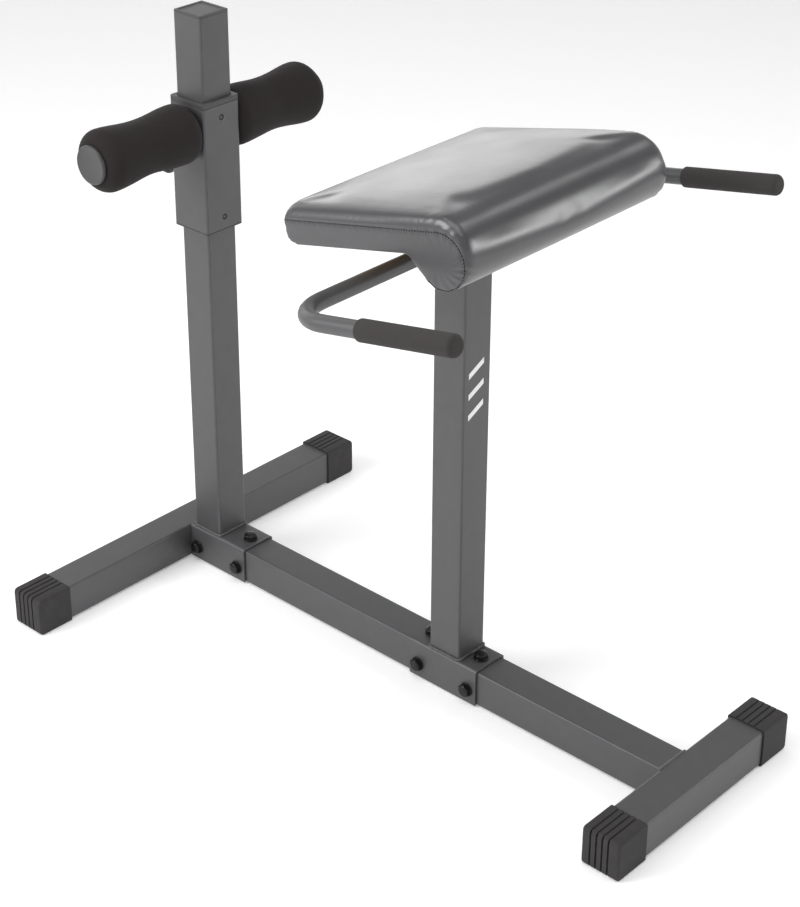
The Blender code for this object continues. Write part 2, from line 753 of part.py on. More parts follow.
def board_extent():
    """The board's length along the slope and the place of its middle."""
    start = BOARD_BORDER - PAD_BEHIND_COLUMN
    end = PAD_BEFORE_COLUMN - BOARD_BORDER
    return end - start, (start + end) / 2


def make_pad_board(wood):
    length, middle = board_extent()
    places = [(x - middle, y) for x, y in pad_bolt_places().values()]
    outline = rectangle(length, PAD_WIDTH - 2 * BOARD_BORDER, BOARD_BORDER / 2)
    body = plate(outline, BOARD_THICKNESS, holes_at(places, bolt_hole(PAD_BOLT)))
    add("pad_board", body, wood, PAD_FRAME @ at(middle, 0, 0))


def make_hip_pad(vinyl):
    """A flat pad whose front runs into a roll that hangs below its underside."""
    top = PAD_THICKNESS
    roll_level = top - ROLL_RADIUS
    corner = Vector((PAD_BEFORE_COLUMN, 0))
    to_roll = Vector((ROLL_CENTRE, roll_level)) - corner
    tangent = math.atan2(to_roll.y, to_roll.x) - math.asin(ROLL_RADIUS / to_roll.length)
    first = tangent - math.pi / 2
    steps = 16
    section = rounded(
        [
            (PAD_BEFORE_COLUMN, 0, 0),
            (-PAD_BEHIND_COLUMN, 0, PAD_REAR_ROUNDING),
            (-PAD_BEHIND_COLUMN, top, PAD_REAR_ROUNDING),
            (ROLL_CENTRE, top, 0),
        ],
        4,
    )
    for step in range(1, steps + 1):
        angle = math.pi / 2 + (first - math.pi / 2) * step / steps
        x = ROLL_CENTRE + ROLL_RADIUS * math.cos(angle)
        section.append((x, roll_level + ROLL_RADIUS * math.sin(angle)))
    place = PAD_FRAME @ at(0, PAD_WIDTH / 2, 0) @ SECTION_ALONG_Y
    pad = add("hip_pad", plate(section, PAD_WIDTH), vinyl, place)
    edge = pad.modifiers.new("soft_edge", "BEVEL")
    edge.width = PAD_EDGE_ROUNDING
    edge.segments = 3
    edge.limit_method = "ANGLE"
    edge.angle_limit = math.radians(60)
    length, middle = board_extent()
    gap = 2 * CLEARANCE
    width = PAD_WIDTH - 2 * BOARD_BORDER + gap
    outline = rectangle(length + gap, width, BOARD_BORDER / 2)
    recess = plate(outline, 2 * (BOARD_THICKNESS + CLEARANCE))
    recess.transform(PAD_FRAME @ at(middle, 0, -(BOARD_THICKNESS + CLEARANCE)))
    shape_with(pad, tool("board_recess", recess))


def handlebar_frame():
    """The middle of the bar's cross tube, with x along the arms."""
    middle = at(COLUMN_X - HANDLEBAR_BEHIND_COLUMN, 0, HANDLEBAR_LEVEL)
    return middle @ Matrix.Rotation(-HANDLEBAR_SLOPE, 4, "Y")


def arm_length():
    """From the cross tube's centre line to the end of the tube inside the grip."""
    return HANDLEBAR_REACH - GRIP_END - CLEARANCE


def make_handlebar(material):
    """One tube: a cross tube with a forward arm at each end, bent in one sloping plane."""
    half = HANDLEBAR_WIDTH / 2
    corners = [(arm_length(), -half, 0), (0, -half, HANDLEBAR_BEND)]
    corners += [(0, half, HANDLEBAR_BEND), (arm_length(), half, 0)]
    path = rounded(corners, 8)
    curve = bpy.data.curves.new("handlebar", "CURVE")
    curve.dimensions = "3D"
    curve.bevel_depth = HANDLEBAR_RADIUS
    curve.bevel_resolution = 3
    curve.materials.append(material)
    spline = curve.splines.new("POLY")
    spline.points.add(len(path) - 1)
    for point, (x, y) in zip(spline.points, path):
        point.co = (x, y, 0, 1)
    bar = add_copy("handlebar", curve, handlebar_frame())
    wall = bar.modifiers.new("wall", "SOLIDIFY")
    wall.thickness = HANDLEBAR_WALL
    wall.offset = -1


def make_grip(name, side, material):
    end = GRIP_LENGTH
    bore = HANDLEBAR_RADIUS + CLEARANCE
    open_end = rounded_end(GRIP_RADIUS, GRIP_LENGTH, GRIP_ROUNDING / 3, 2)
    profile = [(0, end - GRIP_END), (bore, end - GRIP_END), (bore, 0)]
    profile += [(radius, GRIP_LENGTH - height) for radius, height in reversed(open_end)]
    profile += rounded_end(GRIP_RADIUS, end, GRIP_ROUNDING)
    profile.append((0, end))
    start = HANDLEBAR_REACH - GRIP_LENGTH
    place = handlebar_frame() @ at(start, side * HANDLEBAR_WIDTH / 2, 0) @ TOWARDS_FRONT
    add(name, turned(profile, 20), material, place)


def main():
    clear_scene()
    steel = finish("charcoal_powder_coat", (0.16, 0.16, 0.17), 0.45, 0.2)
    zinc = finish("black_zinc", (0.03, 0.03, 0.03), 0.35, 0.8)
    rubber = finish("black_rubber", (0.05, 0.05, 0.05), 0.8)
    plastic = finish("grey_plastic", (0.15, 0.15, 0.15), 0.5)
    foam = finish("black_foam", (0.035, 0.032, 0.032), 0.9)
    grip_foam = finish("grip_foam", (0.07, 0.065, 0.065), 0.85)
    vinyl = finish("charcoal_vinyl", (0.13, 0.13, 0.135), 0.35)
    wood = finish("plywood", (0.55, 0.4, 0.25), 0.7)
    spring_steel = finish("spring_steel", (0.5, 0.5, 0.5), 0.3, 1.0)

    for name, x, width in (
        ("rear", REAR_FOOT_X, REAR_WIDTH),
        ("front", FRONT_FOOT_X, FRONT_WIDTH),
    ):
        make_cross_foot(name + "_cross_foot", x, width, steel)
        make_foot_cap(name + "_left_foot_cap", x, 1, width, rubber)
        make_foot_cap(name + "_right_foot_cap", x, -1, width, rubber)
    make_main_beam(steel)
    make_saddle("post_saddle", POST_SADDLE_START, POST_SADDLE_LENGTH, steel)
    make_saddle("column_saddle", COLUMN_SADDLE_START, COLUMN_SADDLE_LENGTH, steel)
    make_saddle_bolts(zinc)
    make_ankle_post(steel, plastic)

    carriage = joint_point("sleeve_slide", at(POST_X, 0, PIN_LEVEL))
    plunger = joint_point("pin_pull", at(SLEEVE_REAR_X, 0, PIN_LEVEL), carriage)
    make_sleeve(steel, carriage)
    make_bush("sleeve_top_bush", True, TOP_FLANGE, plastic, carriage)
    make_bush("sleeve_bottom_bush", False, BOTTOM_FLANGE, plastic, carriage)
    make_barrel(steel, carriage)
    make_spring(spring_steel, carriage)
    make_pull_pin(zinc, plastic, plunger)
    for prefix, side in (("left", 1), ("right", -1)):
        make_axle_and_cap(prefix, side, steel, plastic, carriage)
        roller = joint_point(prefix + "_roller_spin", roller_side(side), carriage)
        make_roller_foam(prefix + "_roller_foam", side, foam, roller)

    make_hip_column(steel)
    make_pad_support(steel, zinc)
    make_pad_board(wood)
    make_hip_pad(vinyl)
    make_handlebar(steel)
    make_grip("left_grip", 1, grip_foam)
    make_grip("right_grip", -1, grip_foam)


main()
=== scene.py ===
"""The looks of the roman chair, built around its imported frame.

Sizes are in metres, in the chair's own frame: +X runs from the ankle post towards the hip pad,
+Y is the user's left, +Z is up, and the floor is at z = 0.
"""

import math

import bmesh
import bpy
from mathutils import Matrix, Vector, noise
from mathutils.bvhtree import BVHTree
from mathutils.kdtree import KDTree


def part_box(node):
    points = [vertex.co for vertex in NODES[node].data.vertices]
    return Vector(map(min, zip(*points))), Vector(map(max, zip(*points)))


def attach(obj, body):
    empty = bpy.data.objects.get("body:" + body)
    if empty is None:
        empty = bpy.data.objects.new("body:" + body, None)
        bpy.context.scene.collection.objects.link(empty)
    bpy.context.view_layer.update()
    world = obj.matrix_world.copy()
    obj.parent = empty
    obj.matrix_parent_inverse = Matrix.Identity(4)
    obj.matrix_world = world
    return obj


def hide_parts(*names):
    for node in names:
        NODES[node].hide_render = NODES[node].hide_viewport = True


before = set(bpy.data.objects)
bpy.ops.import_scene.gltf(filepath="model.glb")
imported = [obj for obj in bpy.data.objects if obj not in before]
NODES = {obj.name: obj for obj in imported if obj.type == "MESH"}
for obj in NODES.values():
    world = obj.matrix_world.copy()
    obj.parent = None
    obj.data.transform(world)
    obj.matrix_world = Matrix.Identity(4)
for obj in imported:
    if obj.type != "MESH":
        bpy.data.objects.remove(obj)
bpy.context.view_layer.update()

# Camera
CAMERA_PLACE = (1.6177, -1.8115, 1.7017)
CAMERA_TURN = math.radians(42.39)  # of the view from +Y towards -X
CAMERA_TILT = math.radians(26.83)  # below the horizon
CAMERA_ROLL = math.radians(0.25)
CAMERA_LENS = 85.62  # mm
CAMERA_SENSOR = 36  # mm, the picture's long side
CAMERA_SHIFT = -0.1141
FAR_ENOUGH = 60  # to see the whole floor

# Studio: light from a pale horizon under a dimmer ceiling, and a bright low wall on one side.
# Each pair of places is measured along a direction, and the light eases from one to the other.
SKY_PLACES = (0.16, 0.42)
SKY_LEVELS = (1.0, 0.36)
WALL_TOWARDS = (-0.745, 0.667, 0)
WALL_SPREAD = (0.68, 0.92)
WALL_RISE = (0, 0.6, 1)  # tilted, so that the wall's top edge slopes
WALL_TOP = (0.48, 0.75)
WALL_LEVEL = 2.6
SOFTBOXES = (  # name, place, what it is aimed at, width and height, watts
    ("back_softbox", (0.46, 1.98, 2.94), (0.2, 0, 0.7), (0.9, 0.5), 7),
    ("side_softbox", (2.36, 1.98, 1.35), (0.2, 0, 0.7), (0.9, 0.5), 21),
    ("overhead_softbox", (0.2, -0.6, 3.2), (0, 0, 0), (2.6, 2.6), 42),
    ("left_softbox", (-1.5, -2.5, 2.2), (-0.1, 0, 0.55), (1.7, 1.7), 68),
)
FLOOR_SIZE = 30
FLOOR_GLOW = 0.22

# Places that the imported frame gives
POST_LOW, POST_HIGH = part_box("ankle_post")
COLUMN_LOW, COLUMN_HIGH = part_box("hip_column")
POST_X = (POST_LOW.x + POST_HIGH.x) / 2
COLUMN_X = (COLUMN_LOW.x + COLUMN_HIGH.x) / 2
TUBE = POST_HIGH.x - POST_LOW.x

# Foot caps
CAP_ROUNDING = 0.0032
CAP_GROOVES = (-0.0150, -0.0062, 0.0026, 0.0114)  # across a cap, from its middle
GROOVE_HALF_WIDTH = 0.0013
GROOVE_DEPTH = 0.0018
END_GROOVE = 1.9  # times as deep over the cap's end
RIB_ROUNDING = 0.006  # where a rib turns from the top into the end
RIB_STEPS = 5
CAP_WALL = 0.002
CAP_END_WALL = 0.004
CAP_MOUTH = 0.01  # how far the pocket's cutter stands out of it
TUBE_CORNER = 0.003
FIT = 0.0003

# Fasteners
HEAD_HEIGHT = 0.0064
HEAD_FLATS = 0.016
HEAD_SHOULDER = 0.6  # of its height, below the dome
DOME_TOP = 0.45  # of the dome's width, where it is flat
DOME_STEPS = 6
HEAD_POINTS = 48
SHANK_RADIUS = 0.005
SHANK_CHAMFER = 0.0008

# Post plug
PLUG_FLANGE = 0.003
PLUG_INSERT = 0.0046  # narrower than the tube by this much
PLUG_RIM = 0.0070  # both sides of the raised rim together

# Pull knob
KNOB_BORE_RADIUS = 0.0043
KNOB_BORE_DEPTH = 0.012
KNOB_RIM_ROUNDING = 0.0018
KNOB_TOP_ROUNDING = 0.006

# Ankle rollers
AXLE_RADIUS = 0.0125
ROLLER_INNER_RADIUS = 0.041  # of the foam, near the sleeve
ROLLER_WAIST_RADIUS = 0.037
ROLLER_OUTER_RADIUS = 0.0425
ROLLER_INNER_ROUNDING = 0.016
ROLLER_OUTER_ROUNDING = 0.020
ROLLER_CAP_RADIUS = 0.026
ROLLER_CAP = 0.005
ROLLER_PLUG_RADIUS = 0.0102
ROLLER_PLUG = 0.018
ROLLER_BORE_FIT = 0.0005
ROLLER_WAIST_STEPS = 24
ROLLER_LUMPS = (28, 0.0006)  # to a metre, and how high

# Hip pad, in its own frame: x along the slope from the column's axis, z up from its underside
PAD_SLOPE = math.radians(13.5)
PAD_HEIGHT = 0.693
PAD_WIDTH = 0.370
PAD_REAR = -0.117
PAD_CORNER = 0.073  # where the roll starts underneath
PAD_FRAME = Matrix.Translation((COLUMN_X, 0, PAD_HEIGHT)) @ Matrix.Rotation(-PAD_SLOPE, 4, "Y")
PAD_SHRINK = 0.0005  # taken off each side before the cover swells
PAD_BEHIND = 0.003  # how far the stuffed cover reaches behind the board's cushion
PAD_TOP = 0.0486  # where the cover runs flat, before it slopes down to the roll
PAD_REAR_ROUNDING = 0.011
PAD_REAR_FULLNESS = 0.7  # below 1, the cover rises faster at the rear than an ellipse does
PAD_SEAM = (0.030, 0.0275)  # height of the seam at the rear and where the roll starts
PAD_UNDER_ROUNDING = 0.015
PAD_PLAN_ROUNDING = 0.004  # of its rear corners, seen from above
REAR_STEPS = 8
TOP_STEPS = 10
ROLL_STEPS = 30
ROLL_CENTRE = (0.124, 0.0022)
ROLL_RADIUS = 0.0440
END_CENTRE = (0.126, -0.007)  # of the seam round the roll's end
END_RADIUS = 0.0345
PAD_PILLOW = 0.028  # how far in from the seam the cover takes to rise
ROLL_PILLOW = 0.011  # the same round the roll
ROLL_BLEND = 0.11  # where the roll's pillow has taken over from the pad's
PILLOW_FULLNESS = 2.5  # above 2, the cover rises faster beside its seam than a circle does
PILLOW_STATIONS = (0, 0.5, 1.2, 2.2, 3.5, 5, 7, 9.5, 12.5, 16, 21, 28)  # mm in from the seam
PAD_CROWN = 0.003
CROWN_REACH = 0.13  # along the slope
CROWN_START = 0.024  # height at which the crown's lift begins
CROWN_EASE = 0.016  # and how far above that it is whole
PAD_VOXEL = 0.004
CLOTH_FRAMES = 20
PAD_SWELL = 0.003  # the most that the cover may move
SWELL_REACH = 0.075  # how far from the seam it may move that much
HELD_SEAM = 0.0045  # how near the seam the cover is held
HELD_UNDER = 0.016  # the height below which it is held too, behind the roll
TAUT_ROUNDS = 5
BOARD_BORDER = 0.018  # width of the cover around the board
BOARD_THICKNESS = 0.012
BOARD_GAP = 0.0006
BOARD_FLUSH = 0.003  # the underside's points below this are over the board

# The pad's seam and puckers: each pair is the value along the pad, and how much the roll adds
SEAM_ACROSS_STEPS = 180
SEAM_STEP = 0.001
SEAM_LINE_STEP = 0.003
SEAM_LIFT = 0.00002
SEAM_RADIUS = 0.0007
SEAM_SINK = 0.0007
SEAM_SINK_WIDTH = 0.0022
PUCKER_PITCH = (0.010, 0.004)
PUCKER_DEPTH = (0.00016, 0.0003)
PUCKER_REACH = (0.009, 0.006)
PUCKER_END = 0.035
PUCKER_WANDER = 30  # changes of pitch to a metre
ROLL_SEAM = (0.09, 0.02)  # where the roll's part of the seam starts, and how soon it is whole
STITCH_PITCH = 0.0042
STITCH_SIZE = (0.0014, 0.00045, 0.00045, 1)
STITCH_LIFT = 0.0006

# Handlebar: two arms that rise towards +X from a cross tube through the column
HANDLEBAR_WIDTH = 0.596  # between the arms' centre lines
HANDLEBAR_LEVEL = 0.646
HANDLEBAR_BEHIND_COLUMN = 0.007
HANDLEBAR_SLOPE = math.radians(11.3)
HANDLEBAR_REACH = 0.261
HANDLEBAR_BEND = 0.061
HANDLEBAR_RADIUS = 0.0105
GRIP_LENGTH = 0.141
GRIP_RADIUS = 0.0133
GRIP_END = 0.005
GRIP_ROUNDING = 0.006
GRIP_LIP = 0.0014  # rounding of its open end
HANDLEBAR_FRAME = Matrix.Translation(
    (COLUMN_X - HANDLEBAR_BEHIND_COLUMN, 0, HANDLEBAR_LEVEL)
) @ Matrix.Rotation(-HANDLEBAR_SLOPE, 4, "Y")

# Printed bars
BAR_LEVELS = (0.412, 0.441, 0.470)
BAR_SIDES = (-0.016, 0.012)
BAR_RISE = 0.014
BAR_HEIGHT = 0.008
PRINT_SUNK = 0.0002
PRINT_RAISED = 0.00015

# Weld beads
BEAD_RADIUS = 0.0024
BEAD_RIPPLE = 0.0035  # from one ripple to the next
BEAD_UP = 0.0012  # of a post's bead above its saddle
BEAD_OUT = 0.0005  # of it from the post's sides
BEAD_BELOW_TOP = 0.0016  # of a beam's bead below the beam's top
BEAD_START = 0.004  # above the beam's underside

# Turns for pieces that are drawn along Z
TOWARDS_LEFT = Matrix.Rotation(-math.pi / 2, 4, "X")
TOWARDS_RIGHT = Matrix.Rotation(math.pi / 2, 4, "X")
TOWARDS_FRONT = Matrix.Rotation(math.pi / 2, 4, "Y")
TOWARDS_REAR = Matrix.Rotation(-math.pi / 2, 4, "Y")

SMOOTH_ANGLE = math.radians(38)
WELD_DISTANCE = 1e-5


# Camera, floor and light


def place_camera():
    level = Vector((-math.sin(CAMERA_TURN), math.cos(CAMERA_TURN), 0))
    view = level * math.cos(CAMERA_TILT) - Vector((0, 0, math.sin(CAMERA_TILT)))
    right = view.cross((0, 0, 1)).normalized()
    turn = Matrix((right, right.cross(view), -view)).transposed().to_4x4()
    camera = bpy.data.objects.new("camera", bpy.data.cameras.new("camera"))
    roll = Matrix.Rotation(CAMERA_ROLL, 4, "Z")
    camera.matrix_world = Matrix.Translation(CAMERA_PLACE) @ turn @ roll
    camera.data.lens = CAMERA_LENS
    camera.data.sensor_width = CAMERA_SENSOR
    camera.data.shift_y = CAMERA_SHIFT
    camera.data.clip_end = FAR_ENOUGH
    bpy.context.scene.collection.objects.link(camera)
    bpy.context.scene.camera = camera


def soft_light(name, place, aim, size, power):
    light = bpy.data.lights.new(name, "AREA")
    light.shape = "RECTANGLE"
    light.size, light.size_y = size
    light.energy = power
    lamp = bpy.data.objects.new(name, light)
    lamp.location = place
    lamp.rotation_euler = (Vector(aim) - Vector(place)).to_track_quat("-Z", "Y").to_euler()
    bpy.context.scene.collection.objects.link(lamp)


def eased_light(tree, towards, places, levels):
    """A light level that eases from the first to the second between places along a direction."""
    along = tree.nodes.new("ShaderNodeVectorMath")
    along.operation = "DOT_PRODUCT"
    along.inputs[1].default_value = towards
    ease = tree.nodes.new("ShaderNodeMapRange")
    ease.interpolation_type = "SMOOTHSTEP"
    for socket, number in zip(ease.inputs[1:5], (*places, *levels)):
        socket.default_value = number
    tree.links.new(tree.nodes["Texture Coordinate"].outputs["Generated"], along.inputs[0])
    tree.links.new(along.outputs["Value"], ease.inputs[0])
    return ease.outputs[0]


def light_studio():
    world = bpy.data.worlds.new("studio")
    world.use_nodes = True
    tree = world.node_tree
    tree.nodes.new("ShaderNodeTexCoord")
    sky = eased_light(tree, (0, 0, 1), SKY_PLACES, SKY_LEVELS)
    wall = eased_light(tree, WALL_RISE, WALL_TOP, (WALL_LEVEL, 0))
    width = eased_light(tree, WALL_TOWARDS, WALL_SPREAD, (0, 1))
    strength = tree.nodes.new("ShaderNodeMath")
    strength.operation = "MULTIPLY_ADD"
    for socket, level in zip(strength.inputs, (wall, width, sky)):
        tree.links.new(level, socket)
    background = tree.nodes["Background"]
    background.inputs["Color"].default_value = (1, 1, 1, 1)
    tree.links.new(strength.outputs[0], background.inputs["Strength"])
    bpy.context.scene.world = world
    bpy.context.scene.view_settings.view_transform = "Standard"
    for softbox in SOFTBOXES:
        soft_light(*softbox)


def lay_floor():
    bm = bmesh.new()
    bmesh.ops.create_grid(bm, x_segments=1, y_segments=1, size=FLOOR_SIZE)
    floor = bpy.data.objects.new("floor", bpy.data.meshes.new("floor"))
    bm.to_mesh(floor.data)
    bm.free()
    glow = {"Roughness": 0.9, "Emission Color": (1, 1, 1, 1), "Emission Strength": FLOOR_GLOW}
    pale = Finish("pale floor", (0.93, 0.93, 0.93), glow)
    floor.data.materials.append(pale.material)
    bpy.context.scene.collection.objects.link(floor)


# Shader maths


class Value:
    """A shader socket in an expression: each operator adds the Math node that works it out."""

    def __init__(self, finish, socket):
        self.finish = finish
        self.socket = socket

    def math(self, operation, *terms):
        return self.finish.node("ShaderNodeMath", {"operation": operation}, dict(enumerate(terms)))

    def __add__(self, other):
        return self.math("ADD", self, other)

    def __mul__(self, other):
        return self.math("MULTIPLY", self, other)

    __radd__ = __add__
    __rmul__ = __mul__


class Finish:
    """One of the chair's materials: a Principled shader and the nodes that vary it."""

    def __init__(self, name, colour, sockets):
        self.material = bpy.data.materials.new(name)
        self.material.use_nodes = True
        self.tree = self.material.node_tree
        self.shader = self.tree.nodes["Principled BSDF"]
        self.colour = colour
        self.feed(self.shader, {"Base Color": (*colour, 1), **sockets})

    def feed(self, node, inputs):
        for key, value in inputs.items():
            if isinstance(value, Value):
                self.tree.links.new(value.socket, node.inputs[key])
            else:
                node.inputs[key].default_value = value

    def node(self, kind, settings, inputs, output=0):
        """A node of that kind: settings first, with a ramp's stops among them, then its sockets."""
        node = self.tree.nodes.new(kind)
        for key, value in settings.items():
            if key == "stops":
                for element, (place, level) in zip(node.color_ramp.elements, value):
                    element.position = place
                    element.color = (level, level, level, 1)
            else:
                setattr(node, key, value)
        self.feed(node, inputs)
        return Value(self, node.outputs[output])

    def place(self, stretch=(1, 1, 1), turn=(0, 0, 0)):
        coordinates = self.node("ShaderNodeTexCoord", {}, {}, "Object")
        inputs = {"Vector": coordinates, "Scale": stretch, "Rotation": turn}
        return self.node("ShaderNodeMapping", {"vector_type": "POINT"}, inputs)

    def noise(self, scale, detail=2.0, stretch=(1, 1, 1), turn=(0, 0, 0)):
        """Cloudy values from 0 to 1, with about scale features to a metre."""
        inputs = {"Vector": self.place(stretch, turn), "Scale": scale, "Detail": detail}
        return self.node("ShaderNodeTexNoise", {}, inputs)

    def cells(self, scale):
        """Distance from the middle of the nearest of scale cells to a metre."""
        return self.node("ShaderNodeTexVoronoi", {}, {"Vector": self.place(), "Scale": scale})

    def between(self, value, low, high):
        return self.node("ShaderNodeMapRange", {}, {0: value, 1: low, 2: high, 3: 0.0, 4: 1.0})

    def tint(self, mask, colour):
        """Turns the base colour towards another where the mask is 1."""
        mixed = self.node(
            "ShaderNodeMix",
            {"data_type": "RGBA"},
            {0: mask, 6: (*self.colour, 1), 7: (*colour, 1)},
            2,
        )
        self.feed(self.shader, {"Base Color": mixed})

    def roughness(self, value):
        self.feed(self.shader, {"Roughness": value})

    def bump(self, height, depth, strength=1.0):
        """Raises the surface by up to the depth where the height is 1."""
        inputs = {"Height": height, "Distance": depth, "Strength": strength}
        self.feed(self.shader, {"Normal": self.node("ShaderNodeBump", {}, inputs)})


# Materials


def powder_coat(name, colour):
    finish = Finish(name, colour, {"Metallic": 0.25, "Coat Weight": 0.12, "Coat Roughness": 0.4})
    mottle = finish.noise(55, 3)
    finish.tint(finish.between(mottle, 0.3, 0.7), tuple(0.92 * part for part in colour))
    peel = finish.noise(900, 1)
    finish.roughness(0.40 + peel * 0.10)
    finish.bump(peel, 0.00004)
    return finish


def black_zinc():
    finish = Finish("black zinc", (0.028, 0.027, 0.027), {"Metallic": 0.85})
    worn = finish.noise(380, 3)
    finish.tint(finish.between(worn, 0.55, 0.8), (0.09, 0.088, 0.085))
    finish.roughness(0.26 + worn * 0.16)
    finish.bump(worn, 0.00002)
    return finish


def cap_rubber():
    finish = Finish("black rubber", (0.034, 0.032, 0.032), {"Specular IOR Level": 0.25})
    dust = finish.noise(70, 4)
    finish.tint(finish.between(dust, 0.45, 0.8), (0.044, 0.042, 0.041))
    grain = finish.noise(1500, 2)
    finish.roughness(0.62 + dust * 0.14)
    finish.bump(grain, 0.00005)
    return finish


def moulded_plastic(name, colour):
    finish = Finish(name, colour, {"Specular IOR Level": 0.45})
    cloud = finish.noise(40, 2)
    finish.tint(finish.between(cloud, 0.3, 0.75), tuple(0.88 * part for part in colour))
    grain = finish.noise(2200, 2)
    finish.roughness(0.42 + grain * 0.12)
    finish.bump(grain, 0.00003)
    return finish


def foam(name, colour, fleck, pore):
    """Closed-cell foam: fine pores, a dull skin and slightly lighter flecks."""
    sheen = {"Sheen Weight": 0.04, "Sheen Roughness": 0.5, "Specular IOR Level": 0.1}
    finish = Finish(name, colour, sheen)
    flecks = finish.noise(pore * 0.8, 3)
    finish.tint(finish.between(flecks, 0.5, 0.75), fleck)
    pores = finish.cells(pore)
    skin = finish.noise(90, 3)
    finish.roughness(0.82 + flecks * 0.12)
    finish.bump(pores + skin * 2.0, 0.00018)
    return finish


def pad_vinyl():
    """Charcoal upholstery vinyl: a pebbled grain, and fine creases that run round the roll."""
    finish = Finish("charcoal vinyl", (0.050, 0.050, 0.054), {"Specular IOR Level": 0.75})
    cloud = finish.noise(18, 3)
    finish.tint(finish.between(cloud, 0.35, 0.7), (0.043, 0.043, 0.046))
    pebbles = finish.cells(1100)
    creases = finish.noise(60, 4, (0.7, 6.0, 0.7), (0, PAD_SLOPE, 0))
    slack = finish.noise(26, 3, (1, 1.6, 1))
    finish.roughness(0.28 + cloud * 0.08)
    finish.bump(pebbles * 0.05 + creases * 0.22 + slack * 0.3, 0.0009, 0.6)
    return finish


# Fibre finish: it serves the stitches' real thread, and also the seam's dark line, which is painted
# shade.
def thread_and_seam_shade(name, colour, shade):
    finish = Finish(name, colour, {"Specular IOR Level": 0.2})
    twist = finish.noise(2600, 1)
    finish.tint(twist, shade)
    finish.roughness(0.7 + twist * 0.1)
    finish.bump(twist, 0.0001)
    return finish


def plywood():
    finish = Finish("plywood", (0.50, 0.36, 0.22), {"Specular IOR Level": 0.3})
    grain = finish.noise(30, 5, (1, 14, 1))
    finish.tint(finish.between(grain, 0.4, 0.7), (0.36, 0.24, 0.14))
    finish.roughness(0.6 + grain * 0.15)
    finish.bump(grain, 0.0002)
    return finish


def bright_steel():
    finish = Finish("spring steel", (0.55, 0.55, 0.56), {"Metallic": 1.0})
    drawn = finish.noise(900, 2)
    finish.tint(drawn, (0.42, 0.42, 0.43))
    finish.roughness(0.25 + drawn * 0.12)
    finish.bump(drawn, 0.00002)
    return finish


def white_print():
    finish = Finish("white print", (0.82, 0.82, 0.82), {"Specular IOR Level": 0.4})
    worn = finish.noise(700, 3)
    finish.tint(finish.between(worn, 0.55, 0.85), (0.6, 0.6, 0.6))
    finish.roughness(0.4 + worn * 0.1)
    finish.bump(worn, 0.00003)
    return finish


place_camera()
light_studio()
lay_floor()

POWDER_COAT = powder_coat("charcoal powder coat", (0.079, 0.079, 0.082))
SLEEVE_COAT = powder_coat("sleeve powder coat", (0.078, 0.078, 0.081))
ZINC = black_zinc()
RUBBER = cap_rubber()
PLASTIC = moulded_plastic("dark grey plastic", (0.055, 0.054, 0.055))
CAP_PLASTIC = moulded_plastic("grey plastic", (0.056, 0.055, 0.056))
KNOB_PLASTIC = moulded_plastic("knob plastic", (0.03, 0.03, 0.03))
ROLLER_FOAM = foam("roller foam", (0.021, 0.018, 0.0185), (0.034, 0.027, 0.025), 1300)
GRIP_FOAM = foam("grip foam", (0.046, 0.042, 0.042), (0.062, 0.056, 0.055), 1800)
VINYL = pad_vinyl()
THREAD = thread_and_seam_shade("grey thread", (0.20, 0.20, 0.21), (0.12, 0.12, 0.125))
PLYWOOD = plywood()
STEEL = bright_steel()
PRINT = white_print()
# Near-black line along the pad's seam: painted shade in the seam's crease, not a thread colour.
SEAM_SHADE = thread_and_seam_shade("painted seam shade", (0.016, 0.016, 0.017), (0.010, 0.010, 0.011))


# Making pieces


def piece(name, bm, finish, body, replaces=(), smooth=SMOOTH_ANGLE):
    """Turns the bmesh into a piece that rides on the body and takes the place of CAD nodes."""
    mesh = bpy.data.meshes.new(name)
    bm.to_mesh(mesh)
    bm.free()
    mesh.materials.append(finish.material)
    mesh.shade_smooth()
    mesh.set_sharp_from_angle(angle=smooth)
    obj = bpy.data.objects.new(name, mesh)
    bpy.context.scene.collection.objects.link(obj)
    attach(obj, body)
    if replaces:
        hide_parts(*replaces)
    return obj


def softened(obj, width, segments=2):
    """Rounds the piece's sharp edges."""
    bevel = obj.modifiers.new("edge", "BEVEL")
    bevel.width = width
    bevel.segments = segments
    bevel.limit_method = "ANGLE"
    bevel.angle_limit = math.radians(50)
    bevel.harden_normals = True
    shading = obj.modifiers.new("shading", "WEIGHTED_NORMAL")
    shading.keep_sharp = True
    return obj


def welded_copy(node):
    """The CAD node's shape with its points joined and its flat faces whole."""
    bm = bmesh.new()
    bm.from_mesh(NODES[node].data)
    bmesh.ops.remove_doubles(bm, verts=bm.verts, dist=WELD_DISTANCE)
    bmesh.ops.dissolve_limit(bm, angle_limit=math.radians(0.4), verts=bm.verts, edges=bm.edges)
    bmesh.ops.recalc_face_normals(bm, faces=bm.faces)
    return bm


def refined(node, finish, body, width=0.0006):
    return softened(piece(node + "_fine", welded_copy(node), finish, body, [node]), width)


def arc(centre, radius, start, end, steps):
    """Points on a circle from one angle to another, ends included."""
    turns = [start + (end - start) * step / steps for step in range(steps + 1)]
    return [(centre[0] + radius * math.cos(t), centre[1] + radius * math.sin(t)) for t in turns]


def lathe(profile, steps=64):
    """The profile of (radius, height) points spun about Z, closed where it meets the axis."""
    bm = bmesh.new()
    points = [bm.verts.new((radius, 0, height)) for radius, height in profile]
    edges = [bm.edges.new(pair) for pair in zip(points, points[1:])]
    bmesh.ops.spin(
        bm,
        geom=points + edges,
        axis=(0, 0, 1),
        cent=(0, 0, 0),
        angle=2 * math.pi,
        steps=steps,
        use_merge=True,
    )
    bmesh.ops.remove_doubles(bm, verts=bm.verts, dist=WELD_DISTANCE)
    bmesh.ops.recalc_face_normals(bm, faces=bm.faces)
    return bm


